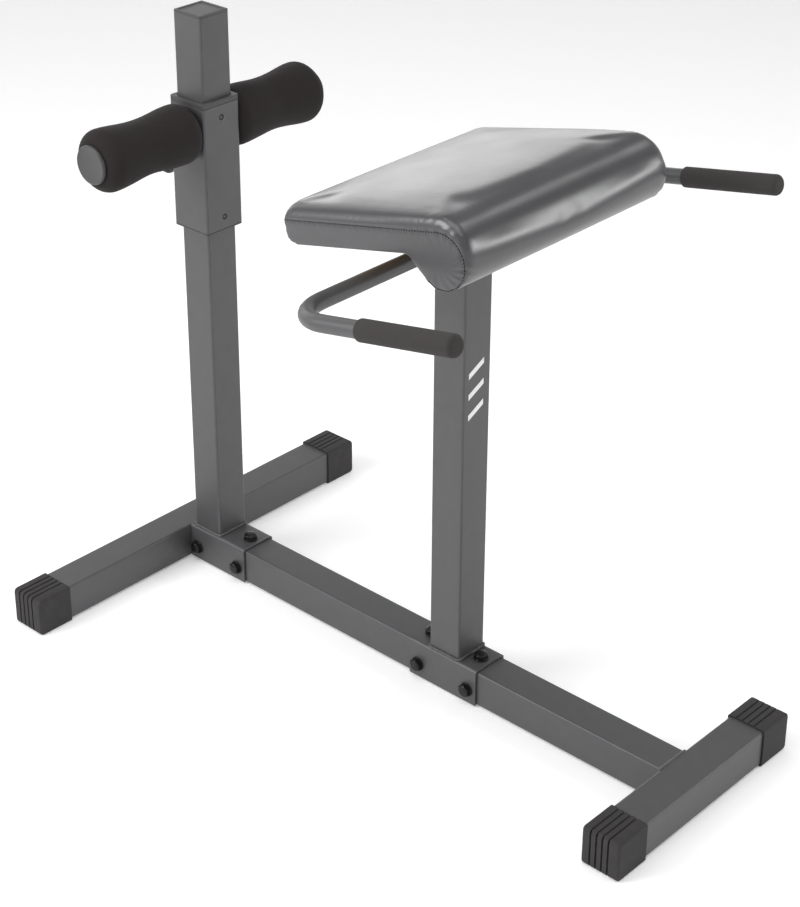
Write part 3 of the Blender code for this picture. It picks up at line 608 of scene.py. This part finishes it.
def swept(points, radii, sides=12, closed=False):
    """A round bar along the points, as thick at each as its radius says."""
    curve = bpy.data.curves.new("bar", "CURVE")
    curve.dimensions = "3D"
    curve.bevel_depth = 1
    curve.bevel_resolution = sides // 4 - 1
    curve.use_fill_caps = not closed
    spline = curve.splines.new("POLY")
    spline.points.add(len(points) - 1)
    spline.use_cyclic_u = closed
    for point, place, radius in zip(spline.points, points, radii):
        point.co = (*place, 1)
        point.radius = radius
    bar = bpy.data.objects.new("bar", curve)
    bpy.context.scene.collection.objects.link(bar)
    bpy.context.view_layer.update()
    bm = bmesh.new()
    bm.from_mesh(bar.to_mesh())
    bar.to_mesh_clear()
    bpy.data.objects.remove(bar)
    bpy.data.curves.remove(curve)
    bmesh.ops.remove_doubles(bm, verts=bm.verts, dist=WELD_DISTANCE)
    bmesh.ops.recalc_face_normals(bm, faces=bm.faces)
    return bm


def stacked(steps):
    """A closed body from steps of (outline, height), each outline with as many points."""
    bm = bmesh.new()
    loops = [[bm.verts.new((x, y, height)) for x, y in outline] for outline, height in steps]
    skin(bm, loops)
    return bm


def skin(bm, loops):
    """Joins each loop of points to the next, and closes the first and the last."""
    for first, second in zip(loops, loops[1:]):
        for index in range(len(first)):
            bm.faces.new((first[index - 1], first[index], second[index], second[index - 1]))
    bm.faces.new(loops[0])
    bm.faces.new(loops[-1])
    bmesh.ops.recalc_face_normals(bm, faces=bm.faces)


def square(side, corner, steps=4):
    """A square's outline about the origin, with rounded corners."""
    flat = side / 2 - corner
    points = []
    for quarter, (x, y) in enumerate(((1, 1), (-1, 1), (-1, -1), (1, -1))):
        start = math.pi / 2 * quarter
        points += arc((x * flat, y * flat), corner, start, start + math.pi / 2, steps)
    return points


def mesh_object(bm, name="tool"):
    mesh = bpy.data.meshes.new(name)
    bm.to_mesh(mesh)
    bm.free()
    obj = bpy.data.objects.new(name, mesh)
    bpy.context.scene.collection.objects.link(obj)
    return obj


def shape_of(obj):
    """The object's shape with its modifiers applied. The object is removed."""
    graph = bpy.context.evaluated_depsgraph_get()
    graph.update()
    bm = bmesh.new()
    bm.from_mesh(obj.evaluated_get(graph).to_mesh())
    mesh = obj.data
    bpy.data.objects.remove(obj)
    bpy.data.meshes.remove(mesh)
    return bm


def less(body, cutter):
    """The body with the cutter's shape taken away."""
    obj = mesh_object(body)
    other = mesh_object(cutter)
    cut = obj.modifiers.new("cut", "BOOLEAN")
    cut.object = other
    cut.operation = "DIFFERENCE"
    cut.solver = "EXACT"
    bm = shape_of(obj)
    bpy.data.meshes.remove(other.data)
    return bm


# Steel frame

for node in (
    "rear_cross_foot",
    "front_cross_foot",
    "main_beam",
    "ankle_post",
    "hip_column",
    "pad_support",
):
    refined(node, POWDER_COAT, "frame")
for node in ("post_saddle", "column_saddle"):
    refined(node, POWDER_COAT, "frame", 0.0009)
refined("slide_sleeve", SLEEVE_COAT, "sleeve", 0.0008)
refined("pin_barrel", SLEEVE_COAT, "sleeve", 0.0005)


def weld_bead(name, path, closed=False):
    """A rippled bead along a path of corners, which the beam or a post is welded along."""
    corners = [Vector(point) for point in path]
    if closed:
        corners.append(corners[0])
    points = []
    for start, end in zip(corners, corners[1:]):
        count = max(1, round((end - start).length / (BEAD_RIPPLE / 4)))
        points += [start.lerp(end, step / count) for step in range(count)]
    if not closed:
        points.append(corners[-1])
    radii = []
    for index, point in enumerate(points):
        wander = noise.noise(point * 160)
        ripple = 0.16 * math.sin(math.pi * index / 2 + wander * 2)
        taper = 1 if closed else min(1, (min(index, len(points) - 1 - index) + 2) / 6)
        radii.append(BEAD_RADIUS * taper * (1 + ripple + 0.25 * wander))
    bead = swept(points, radii, 12, closed)
    piece(name, bead, POWDER_COAT, "frame", smooth=math.radians(80))


def bead_round(name, centre, side, level):
    outline = square(side, TUBE_CORNER, 3)
    weld_bead(name, [(centre + x, y, level) for x, y in outline], closed=True)


bead_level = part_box("post_saddle")[1].z + BEAD_UP
bead_round("post_base_bead", POST_X, TUBE + 2 * BEAD_OUT, bead_level)
bead_round("column_base_bead", COLUMN_X, TUBE + 2 * BEAD_OUT, bead_level)
beam_low, beam_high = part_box("main_beam")
for name, x in (("front", beam_high.x), ("rear", beam_low.x)):
    y, low, high = beam_high.y - BEAD_OUT, beam_low.z + BEAD_START, beam_high.z - BEAD_BELOW_TOP
    weld_bead(name + "_beam_bead", [(x, -y, low), (x, -y, high), (x, y, high), (x, y, low)])


# Foot caps


def cap_inset(across, half):
    """How far a cap's skin lies inside its box at that distance from its middle: its edge's
    rounding, and the depth of a groove."""
    over = min(CAP_ROUNDING, max(0.0, abs(across) - half + CAP_ROUNDING))
    edge = CAP_ROUNDING - math.sqrt(CAP_ROUNDING**2 - over**2)
    groove = 0.0
    for place in CAP_GROOVES:
        off = abs(across - place) / GROOVE_HALF_WIDTH
        if off < 1:
            groove = GROOVE_DEPTH * (1 - off**4)
    return edge, groove


def cap_places(half):
    """Where across a cap its skin changes."""
    places = []
    for step in range(7):
        edge = half - CAP_ROUNDING * (1 - math.sin(math.pi / 2 * step / 6))
        places += [-edge, edge]
    for groove in CAP_GROOVES:
        places += [groove - GROOVE_HALF_WIDTH * math.cos(math.pi * k / 8) for k in range(9)]
    return sorted(places)


def foot_cap(node):
    """A rubber cap, ribbed over its top, its end and its underside, on the end of a cross foot."""
    low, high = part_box(node)
    side = 1 if high.y > 0 else -1
    half, length, height = (high.x - low.x) / 2, high.y - low.y, high.z - low.z
    bm = bmesh.new()
    loops = []
    for place in cap_places(half):
        edge, groove = cap_inset(place, half)
        across = side * place
        inset = edge + groove
        corner = RIB_ROUNDING - edge
        end = length - edge - groove * END_GROOVE - corner
        outline = [(0, inset)]
        outline += arc((end, inset + corner), corner, -math.pi / 2, 0, RIB_STEPS)
        outline += arc((end, height - inset - corner), corner, 0, math.pi / 2, RIB_STEPS)
        outline.append((0, height - inset))
        loops.append([bm.verts.new((across, along, up)) for along, up in outline])
    skin(bm, loops)
    bore = square(2 * half - 2 * CAP_WALL, TUBE_CORNER)
    pocket = stacked([(bore, -CAP_MOUTH), (bore, length - CAP_END_WALL)])
    pocket.transform(Matrix.Translation((0, 0, height / 2)) @ TOWARDS_LEFT)
    cap = less(bm, pocket)
    turn = Matrix.Rotation(0 if side > 0 else math.pi, 4, "Z")
    inner = low.y if side > 0 else high.y
    cap.transform(Matrix.Translation(((low.x + high.x) / 2, inner, low.z)) @ turn)
    piece(node + "_ribbed", cap, RUBBER, "frame", [node])


for end in ("rear", "front"):
    for side in ("left", "right"):
        foot_cap(end + "_" + side + "_foot_cap")


# Fasteners


def domed_bolt(length):
    """A hexagon head above z = 0 whose corners run into a domed top, and its shank below."""
    corner = HEAD_FLATS / math.sqrt(3)
    shoulder = HEAD_HEIGHT * HEAD_SHOULDER
    rings = [(-length, SHANK_RADIUS - SHANK_CHAMFER), (SHANK_CHAMFER - length, SHANK_RADIUS)]
    rings += [(0, SHANK_RADIUS), (0, corner), (shoulder, corner)]
    for step in range(1, DOME_STEPS + 1):
        turn = math.pi / 2 * step / DOME_STEPS
        rise = (HEAD_HEIGHT - shoulder) * math.sin(turn)
        rings.append((shoulder + rise, corner * (DOME_TOP + (1 - DOME_TOP) * math.cos(turn))))
    bm = bmesh.new()
    loops = []
    for height, limit in rings:
        points = []
        for step in range(HEAD_POINTS):
            turn = 2 * math.pi * step / HEAD_POINTS
            flat = (turn + math.pi / 6) % (math.pi / 3) - math.pi / 6
            radius = min(limit, HEAD_FLATS / 2 / math.cos(flat))
            points.append(bm.verts.new((radius * math.cos(turn), radius * math.sin(turn), height)))
        loops.append(points)
    skin(bm, loops)
    return bm


for place in ("post_saddle_rear", "post_saddle_front", "column_saddle_rear", "column_saddle_front"):
    low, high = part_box(place + "_bolt")
    bolt = domed_bolt(high.y - low.y - HEAD_HEIGHT)
    centre = ((low.x + high.x) / 2, low.y + HEAD_HEIGHT, (low.z + high.z) / 2)
    bolt.transform(Matrix.Translation(centre) @ TOWARDS_RIGHT)
    piece(place + "_domed_bolt", bolt, ZINC, "frame", [place + "_bolt"])
for place in ("post_saddle_top", "column_saddle_top_rear", "column_saddle_top_front"):
    low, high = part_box(place + "_bolt")
    bolt = domed_bolt(high.z - low.z - HEAD_HEIGHT)
    bolt.transform(Matrix.Translation(((low.x + high.x) / 2, 0, high.z - HEAD_HEIGHT)))
    piece(place + "_domed_bolt", bolt, ZINC, "frame", [place + "_bolt"])
for node in sorted(NODES):
    if node.endswith(("_washer", "_nut")) or node.startswith("pad_bolt"):
        refined(node, ZINC, "frame", 0.0004)
refined("pull_pin", ZINC, "pin", 0.0003)
refined("pin_spring", STEEL, "sleeve", 0.0001)


# Plastic fittings

plug_low, plug_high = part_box("post_top_plug")
flange = plug_high.z - PLUG_FLANGE
insert = square(TUBE - PLUG_INSERT, 0.001)
plug = stacked(
    [
        (insert, plug_low.z),
        (insert, flange),
        (square(TUBE, TUBE_CORNER), flange),
        (square(TUBE, TUBE_CORNER), plug_high.z - 0.0008),
        (square(TUBE - 0.0008, TUBE_CORNER), plug_high.z - 0.0002),
        (square(TUBE - 0.0018, TUBE_CORNER - 0.0005), plug_high.z),
        (square(TUBE - PLUG_RIM, TUBE_CORNER - 0.0010), plug_high.z),
        (square(TUBE - PLUG_RIM - 0.0010, TUBE_CORNER - 0.0014), plug_high.z - 0.0004),
        (square(TUBE - PLUG_RIM - 0.0016, TUBE_CORNER - 0.0016), plug_high.z - 0.0010),
    ]
)
plug.transform(Matrix.Translation((POST_X, 0, 0)))
piece("post_plug_rimmed", plug, PLASTIC, "frame", ["post_top_plug"])
for node in ("sleeve_top_bush", "sleeve_bottom_bush"):
    refined(node, PLASTIC, "sleeve", 0.0006)

knob_low, knob_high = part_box("pull_knob")
knob_length = knob_high.x - knob_low.x
knob_radius = (knob_high.z - knob_low.z) / 2
knob_neck = knob_radius * 0.62
knob_rim = (knob_radius - KNOB_RIM_ROUNDING, 0.0092)
knob_top = (knob_radius - 0.0002 - KNOB_TOP_ROUNDING, knob_length - KNOB_TOP_ROUNDING)
knob_profile = [(0, KNOB_BORE_DEPTH), (KNOB_BORE_RADIUS, KNOB_BORE_DEPTH), (KNOB_BORE_RADIUS, 0)]
knob_profile += [(knob_radius * 0.58, 0), (knob_neck, 0.0006), (knob_neck, 0.003)]
knob_profile += [(knob_radius * 0.74, 0.0048), (knob_radius * 0.94, 0.0066)]
knob_profile += arc(knob_rim, KNOB_RIM_ROUNDING, -0.6, 0.3, 4)
knob_profile += arc(knob_top, KNOB_TOP_ROUNDING, 0.05, math.pi / 2, 8)
knob = lathe(knob_profile + [(0, knob_length)])
knob_centre = Vector((knob_high.x, 0, (knob_low.z + knob_high.z) / 2))
knob.transform(Matrix.Translation(knob_centre) @ TOWARDS_REAR)
piece("pull_knob_round", knob, KNOB_PLASTIC, "pin", ["pull_knob"])


# Ankle rollers


def foam_profile(length):
    """The foam's outline from its bore at the sleeve to its bore at the cap."""
    bore = AXLE_RADIUS + ROLLER_BORE_FIT
    inner, outer = ROLLER_INNER_ROUNDING, ROLLER_OUTER_ROUNDING
    points = [(bore, 0), (bore + 0.001, 0)]
    points += arc((ROLLER_INNER_RADIUS - inner, inner), inner, -math.pi / 2, 0, 10)
    straight = length - inner - outer
    for step in range(1, ROLLER_WAIST_STEPS):
        part = step / ROLLER_WAIST_STEPS
        end = ROLLER_INNER_RADIUS + (ROLLER_OUTER_RADIUS - ROLLER_INNER_RADIUS) * part
        waist = (1 - math.cos(2 * math.pi * part)) / 2
        points.append((end + (ROLLER_WAIST_RADIUS - end) * waist, inner + straight * part))
    points += arc((ROLLER_OUTER_RADIUS - outer, length - outer), outer, 0, math.pi / 2, 12)
    points += [(bore + 0.001, length), (bore, length), (bore, 0)]
    return points


def soft_lumps(bm, size, height):
    """Moves the points along their normals by a slow noise, as in worn foam."""
    bm.normal_update()
    moves = [v.normal * noise.noise(v.co * size) * height for v in bm.verts]
    for point, move in zip(bm.verts, moves):
        point.co += move


CAP_PROFILE = [
    (0, -ROLLER_PLUG),
    (ROLLER_PLUG_RADIUS, -ROLLER_PLUG),
    (ROLLER_PLUG_RADIUS, 0),
    (ROLLER_CAP_RADIUS - 0.0004, 0),
    (ROLLER_CAP_RADIUS, 0.0006),
    (ROLLER_CAP_RADIUS, 0.0036),
    (ROLLER_CAP_RADIUS - 0.0004, 0.0045),
    (ROLLER_CAP_RADIUS - 0.0012, ROLLER_CAP),
    (ROLLER_CAP_RADIUS - 0.0024, ROLLER_CAP),
    (ROLLER_CAP_RADIUS - 0.0031, 0.0046),
    (ROLLER_CAP_RADIUS - 0.0040, 0.0042),
    (0, 0.0043),
]
for side, turn in (("left", TOWARDS_LEFT), ("right", TOWARDS_RIGHT)):
    sign = 1 if side == "left" else -1
    low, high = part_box(side + "_roller_foam")
    level = (low.z + high.z) / 2
    inner = low.y if sign > 0 else high.y
    foam_body = lathe(foam_profile(high.y - low.y), 96)
    soft_lumps(foam_body, *ROLLER_LUMPS)
    foam_body.transform(Matrix.Translation((POST_X, inner, level)) @ turn)
    node = side + "_roller_foam"
    roller = piece(node + "_soft", foam_body, ROLLER_FOAM, side + "_roller", [node])
    cap_low, cap_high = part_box(side + "_roller_cap")
    face = cap_high.y if sign > 0 else cap_low.y
    cap = lathe(CAP_PROFILE, 72)
    cap.transform(Matrix.Translation((POST_X, face - sign * ROLLER_CAP, level)) @ turn)
    node = side + "_roller_cap"
    piece(node + "_rimmed", cap, CAP_PLASTIC, "sleeve", [node])
    refined(side + "_roller_axle", SLEEVE_COAT, "sleeve", 0.0003)


# Handlebar and grips

arm = HANDLEBAR_REACH - GRIP_END - FIT
half_bar = HANDLEBAR_WIDTH / 2
bend = (HANDLEBAR_BEND, half_bar - HANDLEBAR_BEND)
bar_path = [(arm, half_bar)] + arc(bend, HANDLEBAR_BEND, math.pi / 2, math.pi, 24)
bar_path += [(x, -y) for x, y in reversed(bar_path)]
bar = swept([(x, y, 0) for x, y in bar_path], [HANDLEBAR_RADIUS] * len(bar_path), 32)
bar.transform(HANDLEBAR_FRAME)
piece("handlebar_smooth", bar, POWDER_COAT, "frame", ["handlebar"])
for node, sign in (("left_grip", 1), ("right_grip", -1)):
    bore = HANDLEBAR_RADIUS + FIT
    profile = [(0, GRIP_LENGTH - GRIP_END), (bore, GRIP_LENGTH - GRIP_END), (bore, 0.0004)]
    profile += arc((GRIP_RADIUS - GRIP_LIP, GRIP_LIP), GRIP_LIP, -math.pi * 0.6, 0, 6)
    profile += [(GRIP_RADIUS, 0.03 * ring) for ring in range(1, 5)]
    rounding = (GRIP_RADIUS - GRIP_ROUNDING, GRIP_LENGTH - GRIP_ROUNDING)
    profile += arc(rounding, GRIP_ROUNDING, 0, math.pi / 2, 10)
    profile.append((0, GRIP_LENGTH))
    grip = lathe(profile, 64)
    start = Matrix.Translation((HANDLEBAR_REACH - GRIP_LENGTH, sign * half_bar, 0))
    grip.transform(HANDLEBAR_FRAME @ start @ TOWARDS_FRONT)
    soft = piece(node + "_soft", grip, GRIP_FOAM, "frame", [node])


# Three slanted bars printed on the column's front face

bars = bmesh.new()
for level in BAR_LEVELS:
    corners = [(BAR_SIDES[0], level), (BAR_SIDES[1], level + BAR_RISE)]
    corners += [(y, z + BAR_HEIGHT) for y, z in reversed(corners)]
    faces = [COLUMN_HIGH.x - PRINT_SUNK, COLUMN_HIGH.x + PRINT_RAISED]
    skin(bars, [[bars.verts.new((x, y, z)) for y, z in corners] for x in faces])
piece("column_printed_bars", bars, PRINT, "frame")


# Hip pad


def pad_outlines():
    """The pad's outline at its ends and in its middle, point for point, seen from its right."""
    rear = PAD_REAR - PAD_BEHIND
    roll_top = ROLL_CENTRE[1] + ROLL_RADIUS
    under = PAD_UNDER_ROUNDING
    base = [(PAD_CORNER, 0), (0, 0)]
    base += arc((rear + under, under), under, -math.pi / 2, -math.pi, REAR_STEPS)
    start = rear + PAD_REAR_ROUNDING
    over = []
    for x, z in arc((0, 0), 1, math.pi, math.pi / 2, REAR_STEPS):
        rise = (PAD_TOP - PAD_SEAM[0]) * z**PAD_REAR_FULLNESS
        over.append((start + x * PAD_REAR_ROUNDING, PAD_SEAM[0] + rise))
    for step in range(1, TOP_STEPS):
        x = start + (ROLL_CENTRE[0] - start) * step / TOP_STEPS
        slope = max(0.0, x / ROLL_CENTRE[0]) ** 2
        over.append((x, PAD_TOP + (roll_top - PAD_TOP) * slope))
    ends = [(x, seam_level(x)) for x, _ in over]
    over += round_roll(ROLL_CENTRE, ROLL_RADIUS)
    ends += round_roll(END_CENTRE, END_RADIUS)
    return base, ends, over


def seam_level(x):
    start, end = PAD_SEAM
    return start + (end - start) * (x - PAD_REAR) / (END_CENTRE[0] - PAD_REAR)


def round_roll(centre, radius):
    """Points round the roll from its top to where its underside leaves for the pad's."""
    to_roll = Vector(centre) - Vector((PAD_CORNER, 0))
    tangent = math.atan2(to_roll.y, to_roll.x) - math.asin(radius / to_roll.length)
    return arc(centre, radius, math.pi / 2, tangent - math.pi / 2, ROLL_STEPS)


def within_plan(x, y, half):
    """The place moved inside the pad's rounded rear corners."""
    rounding = PAD_PLAN_ROUNDING
    corner = Vector((PAD_REAR - PAD_BEHIND + rounding, math.copysign(half - rounding, y)))
    out = Vector((x, y)) - corner
    if out.x < 0 and out.y * y > 0 and out.length > rounding:
        out = out.normalized() * rounding
        return corner.x + out.x, corner.y + out.y
    return x, y


def eased(part):
    """From 0 to 1, slowly at both ends."""
    part = min(1.0, max(0.0, part))
    return part * part * (3 - 2 * part)


def crown(x, y, half):
    """How far the stuffing lifts the middle of the cover."""
    across = 1 - (y / half) ** 4
    along = 1 - (x / CROWN_REACH) ** 2
    return PAD_CROWN * max(0.0, across) * max(0.0, along)


def seam_path(half):
    """The seam's places: up the roll's right end, along that side, the rear and the left side."""
    _, ends, _ = pad_outlines()
    rear = PAD_REAR - PAD_BEHIND
    right = [(x, -half, z) for x, z in reversed(ends)]
    steps = SEAM_ACROSS_STEPS
    across = [(rear, -half + 2 * half * step / steps, PAD_SEAM[0]) for step in range(steps + 1)]
    left = [(x, -y, z) for x, y, z in reversed(right)]
    return [Vector((*within_plan(x, y, half), z)) for x, y, z in right + across + left]


def evenly(points, step):
    """Places along the line of points, a step apart."""
    found = [points[0]]
    left = step
    for start, end in zip(points, points[1:]):
        length = (end - start).length
        while left <= length and length > 0:
            found.append(start.lerp(end, left / length))
            left += step
        left -= length
    return found


def board_reach():
    """Where the board starts and ends along the slope, and half its width."""
    start = PAD_REAR + BOARD_BORDER
    return start, PAD_CORNER - BOARD_BORDER, PAD_WIDTH / 2 - BOARD_BORDER


def pad_base(half):
    """The stuffed shape before the cover swells: the ends' outline grows into the middle's."""
    base, ends, middle = pad_outlines()
    bm = bmesh.new()
    stations = [(inset / 1000 - half, inset / 1000) for inset in PILLOW_STATIONS]
    stations += [(-y, inset) for y, inset in reversed(stations)]
    loops = []
    for y, inset in stations:
        outline = []
        for end, mid in zip(base + ends, base + middle):
            pillow = PAD_PILLOW + (ROLL_PILLOW - PAD_PILLOW) * eased(mid[0] / ROLL_BLEND)
            left = max(0.0, 1 - inset / pillow)
            grown = (1 - left**PILLOW_FULLNESS) ** (1 / PILLOW_FULLNESS)
            outline.append(Vector(end).lerp(Vector(mid), grown))
        loops.append([bm.verts.new((point.x, y, point.y)) for point in outline])
    skin(bm, loops)
    obj = mesh_object(bm, "pad_base")
    remesh = obj.modifiers.new("remesh", "REMESH")
    remesh.mode = "VOXEL"
    remesh.voxel_size = PAD_VOXEL
    bm = shape_of(obj)
    start, end, reach = board_reach()
    for point in bm.verts:
        x, y, z = point.co
        x, y = within_plan(x, y, half)
        lift = crown(x, y, half) * eased((z - CROWN_START) / CROWN_EASE)
        if z < BOARD_FLUSH and start < x < end and abs(y) < reach:
            lift = BOARD_THICKNESS + BOARD_GAP
        point.co = (x, y, z + lift)
    return bm


def seam_tree(seam):
    """Places close together along the seam, and a tree that finds the nearest of them."""
    places = evenly(seam, SEAM_STEP)
    tree = KDTree(len(places))
    for index, place in enumerate(places):
        tree.insert(place, index)
    tree.balance()
    return places, tree


def swollen(bm, seam):
    """The cover after the stuffing's pressure, by cloth simulation."""
    before = [point.co.copy() for point in bm.verts]
    _, tree = seam_tree(seam)
    under = PAD_CORNER + PAD_VOXEL
    fixed = {i for i, (x, _, z) in enumerate(before) if z < HELD_UNDER and x < under}
    fixed |= {i for i, place in enumerate(before) if tree.find(place)[2] < HELD_SEAM}
    obj = mesh_object(bm, "pad_cover")
    held = obj.vertex_groups.new(name="held")
    held.add(sorted(fixed), 1.0, "REPLACE")
    cloth = obj.modifiers.new("cover", "CLOTH")
    cloth.settings.quality = 6
    cloth.settings.mass = 0.3
    cloth.settings.tension_stiffness = 20
    cloth.settings.compression_stiffness = 20
    cloth.settings.bending_stiffness = 4
    cloth.settings.vertex_group_mass = "held"
    cloth.settings.use_pressure = True
    cloth.settings.uniform_pressure_force = 4
    cloth.settings.effector_weights.gravity = 0
    for step in range(1, CLOTH_FRAMES + 1):
        bpy.context.scene.frame_set(step)
    bm = shape_of(obj)
    bpy.context.scene.frame_set(1)
    for point, start in zip(bm.verts, before):
        move = point.co - start
        limit = PAD_SWELL * eased(tree.find(start)[2] / SWELL_REACH)
        if move.length > limit:
            point.co = start + move.normalized() * limit
    return bm


def smoothed(bm, seam):
    """The cover drawn taut: its folds smoothed out, away from its seam and its underside."""
    _, tree = seam_tree(seam)
    cover = [point for point in bm.verts if point.co.z >= HELD_UNDER or point.co.x >= PAD_CORNER]
    free = [point for point in cover if tree.find(point.co)[2] > HELD_SEAM]
    for _ in range(TAUT_ROUNDS):
        bmesh.ops.smooth_vert(
            bm, verts=free, factor=0.5, use_axis_x=True, use_axis_y=True, use_axis_z=True
        )
    return bm


def subdivided(bm):
    obj = mesh_object(bm, "pad_cover")
    finer = obj.modifiers.new("finer", "SUBSURF")
    finer.levels = 1
    return shape_of(obj)


def gather(bm, seam):
    """Sinks the seam into the cover and puckers the cover beside it."""
    places, tree = seam_tree(seam)
    bm.normal_update()
    moves = []
    for point in bm.verts:
        _, index, off = tree.find(point.co)
        if off > PUCKER_END:
            moves.append(None)
            continue
        roll = eased((places[index].x - ROLL_SEAM[0]) / ROLL_SEAM[1])
        pitch, depth, reach = (
            start + more * roll for start, more in (PUCKER_PITCH, PUCKER_DEPTH, PUCKER_REACH)
        )
        wander = noise.noise(places[index] * PUCKER_WANDER)
        wave = math.sin(2 * math.pi * (index * SEAM_STEP + 0.5 * off) / pitch + 5 * wander)
        pucker = depth * (0.5 + abs(wander)) * wave * math.exp(-((off / reach) ** 2))
        sink = SEAM_SINK * math.exp(-((off / SEAM_SINK_WIDTH) ** 2))
        moves.append(point.normal * (pucker - sink))
    for point, move in zip(bm.verts, moves):
        if move:
            point.co += move


def sew(bm, seam):
    """The seam's dark line, which is painted shade of the seam's crease, and its stitches, laid on
    the cover.
    """
    tree = BVHTree.FromBMesh(bm)
    line = []
    for place in evenly(seam, SEAM_LINE_STEP):
        spot, normal, _, _ = tree.find_nearest(place)
        line.append(spot + normal * SEAM_LIFT)
    # A dark tube laid along the seam: painted shade in its crease.
    shadow = swept(line, [SEAM_RADIUS] * len(line), 8)
    stitches = bmesh.new()
    holes = evenly(seam, STITCH_PITCH)
    for place, ahead in zip(holes, holes[1:]):
        spot, normal, _, _ = tree.find_nearest(place.lerp(ahead, 0.5))
        along = (ahead - place).normalized()
        across = normal.cross(along).normalized()
        turn = Matrix((along, across, along.cross(across))).transposed().to_4x4()
        size = Matrix.Diagonal(STITCH_SIZE)
        place = Matrix.Translation(spot + normal * STITCH_LIFT) @ turn @ size
        bmesh.ops.create_icosphere(stitches, subdivisions=1, radius=1, matrix=place)
    return shadow, stitches


half_pad = PAD_WIDTH / 2 - PAD_SHRINK
seam = seam_path(half_pad)
pad = pad_base(half_pad)
pad = swollen(pad, seam)
pad = subdivided(smoothed(pad, seam))
gather(pad, seam)
seam_shade_line, stitches = sew(pad, seam)
for body in (pad, seam_shade_line, stitches):
    body.transform(PAD_FRAME)
cover = piece("hip_pad_cover", pad, VINYL, "frame", ["hip_pad"], math.pi)
# The seam's dark line is painted shade of the crease; the stitches below are the real thread.
piece("hip_pad_seam_shade", seam_shade_line, SEAM_SHADE, "frame", smooth=math.pi)
piece("hip_pad_stitches", stitches, THREAD, "frame", smooth=math.pi)
refined("pad_board", PLYWOOD, "frame", 0.0005)
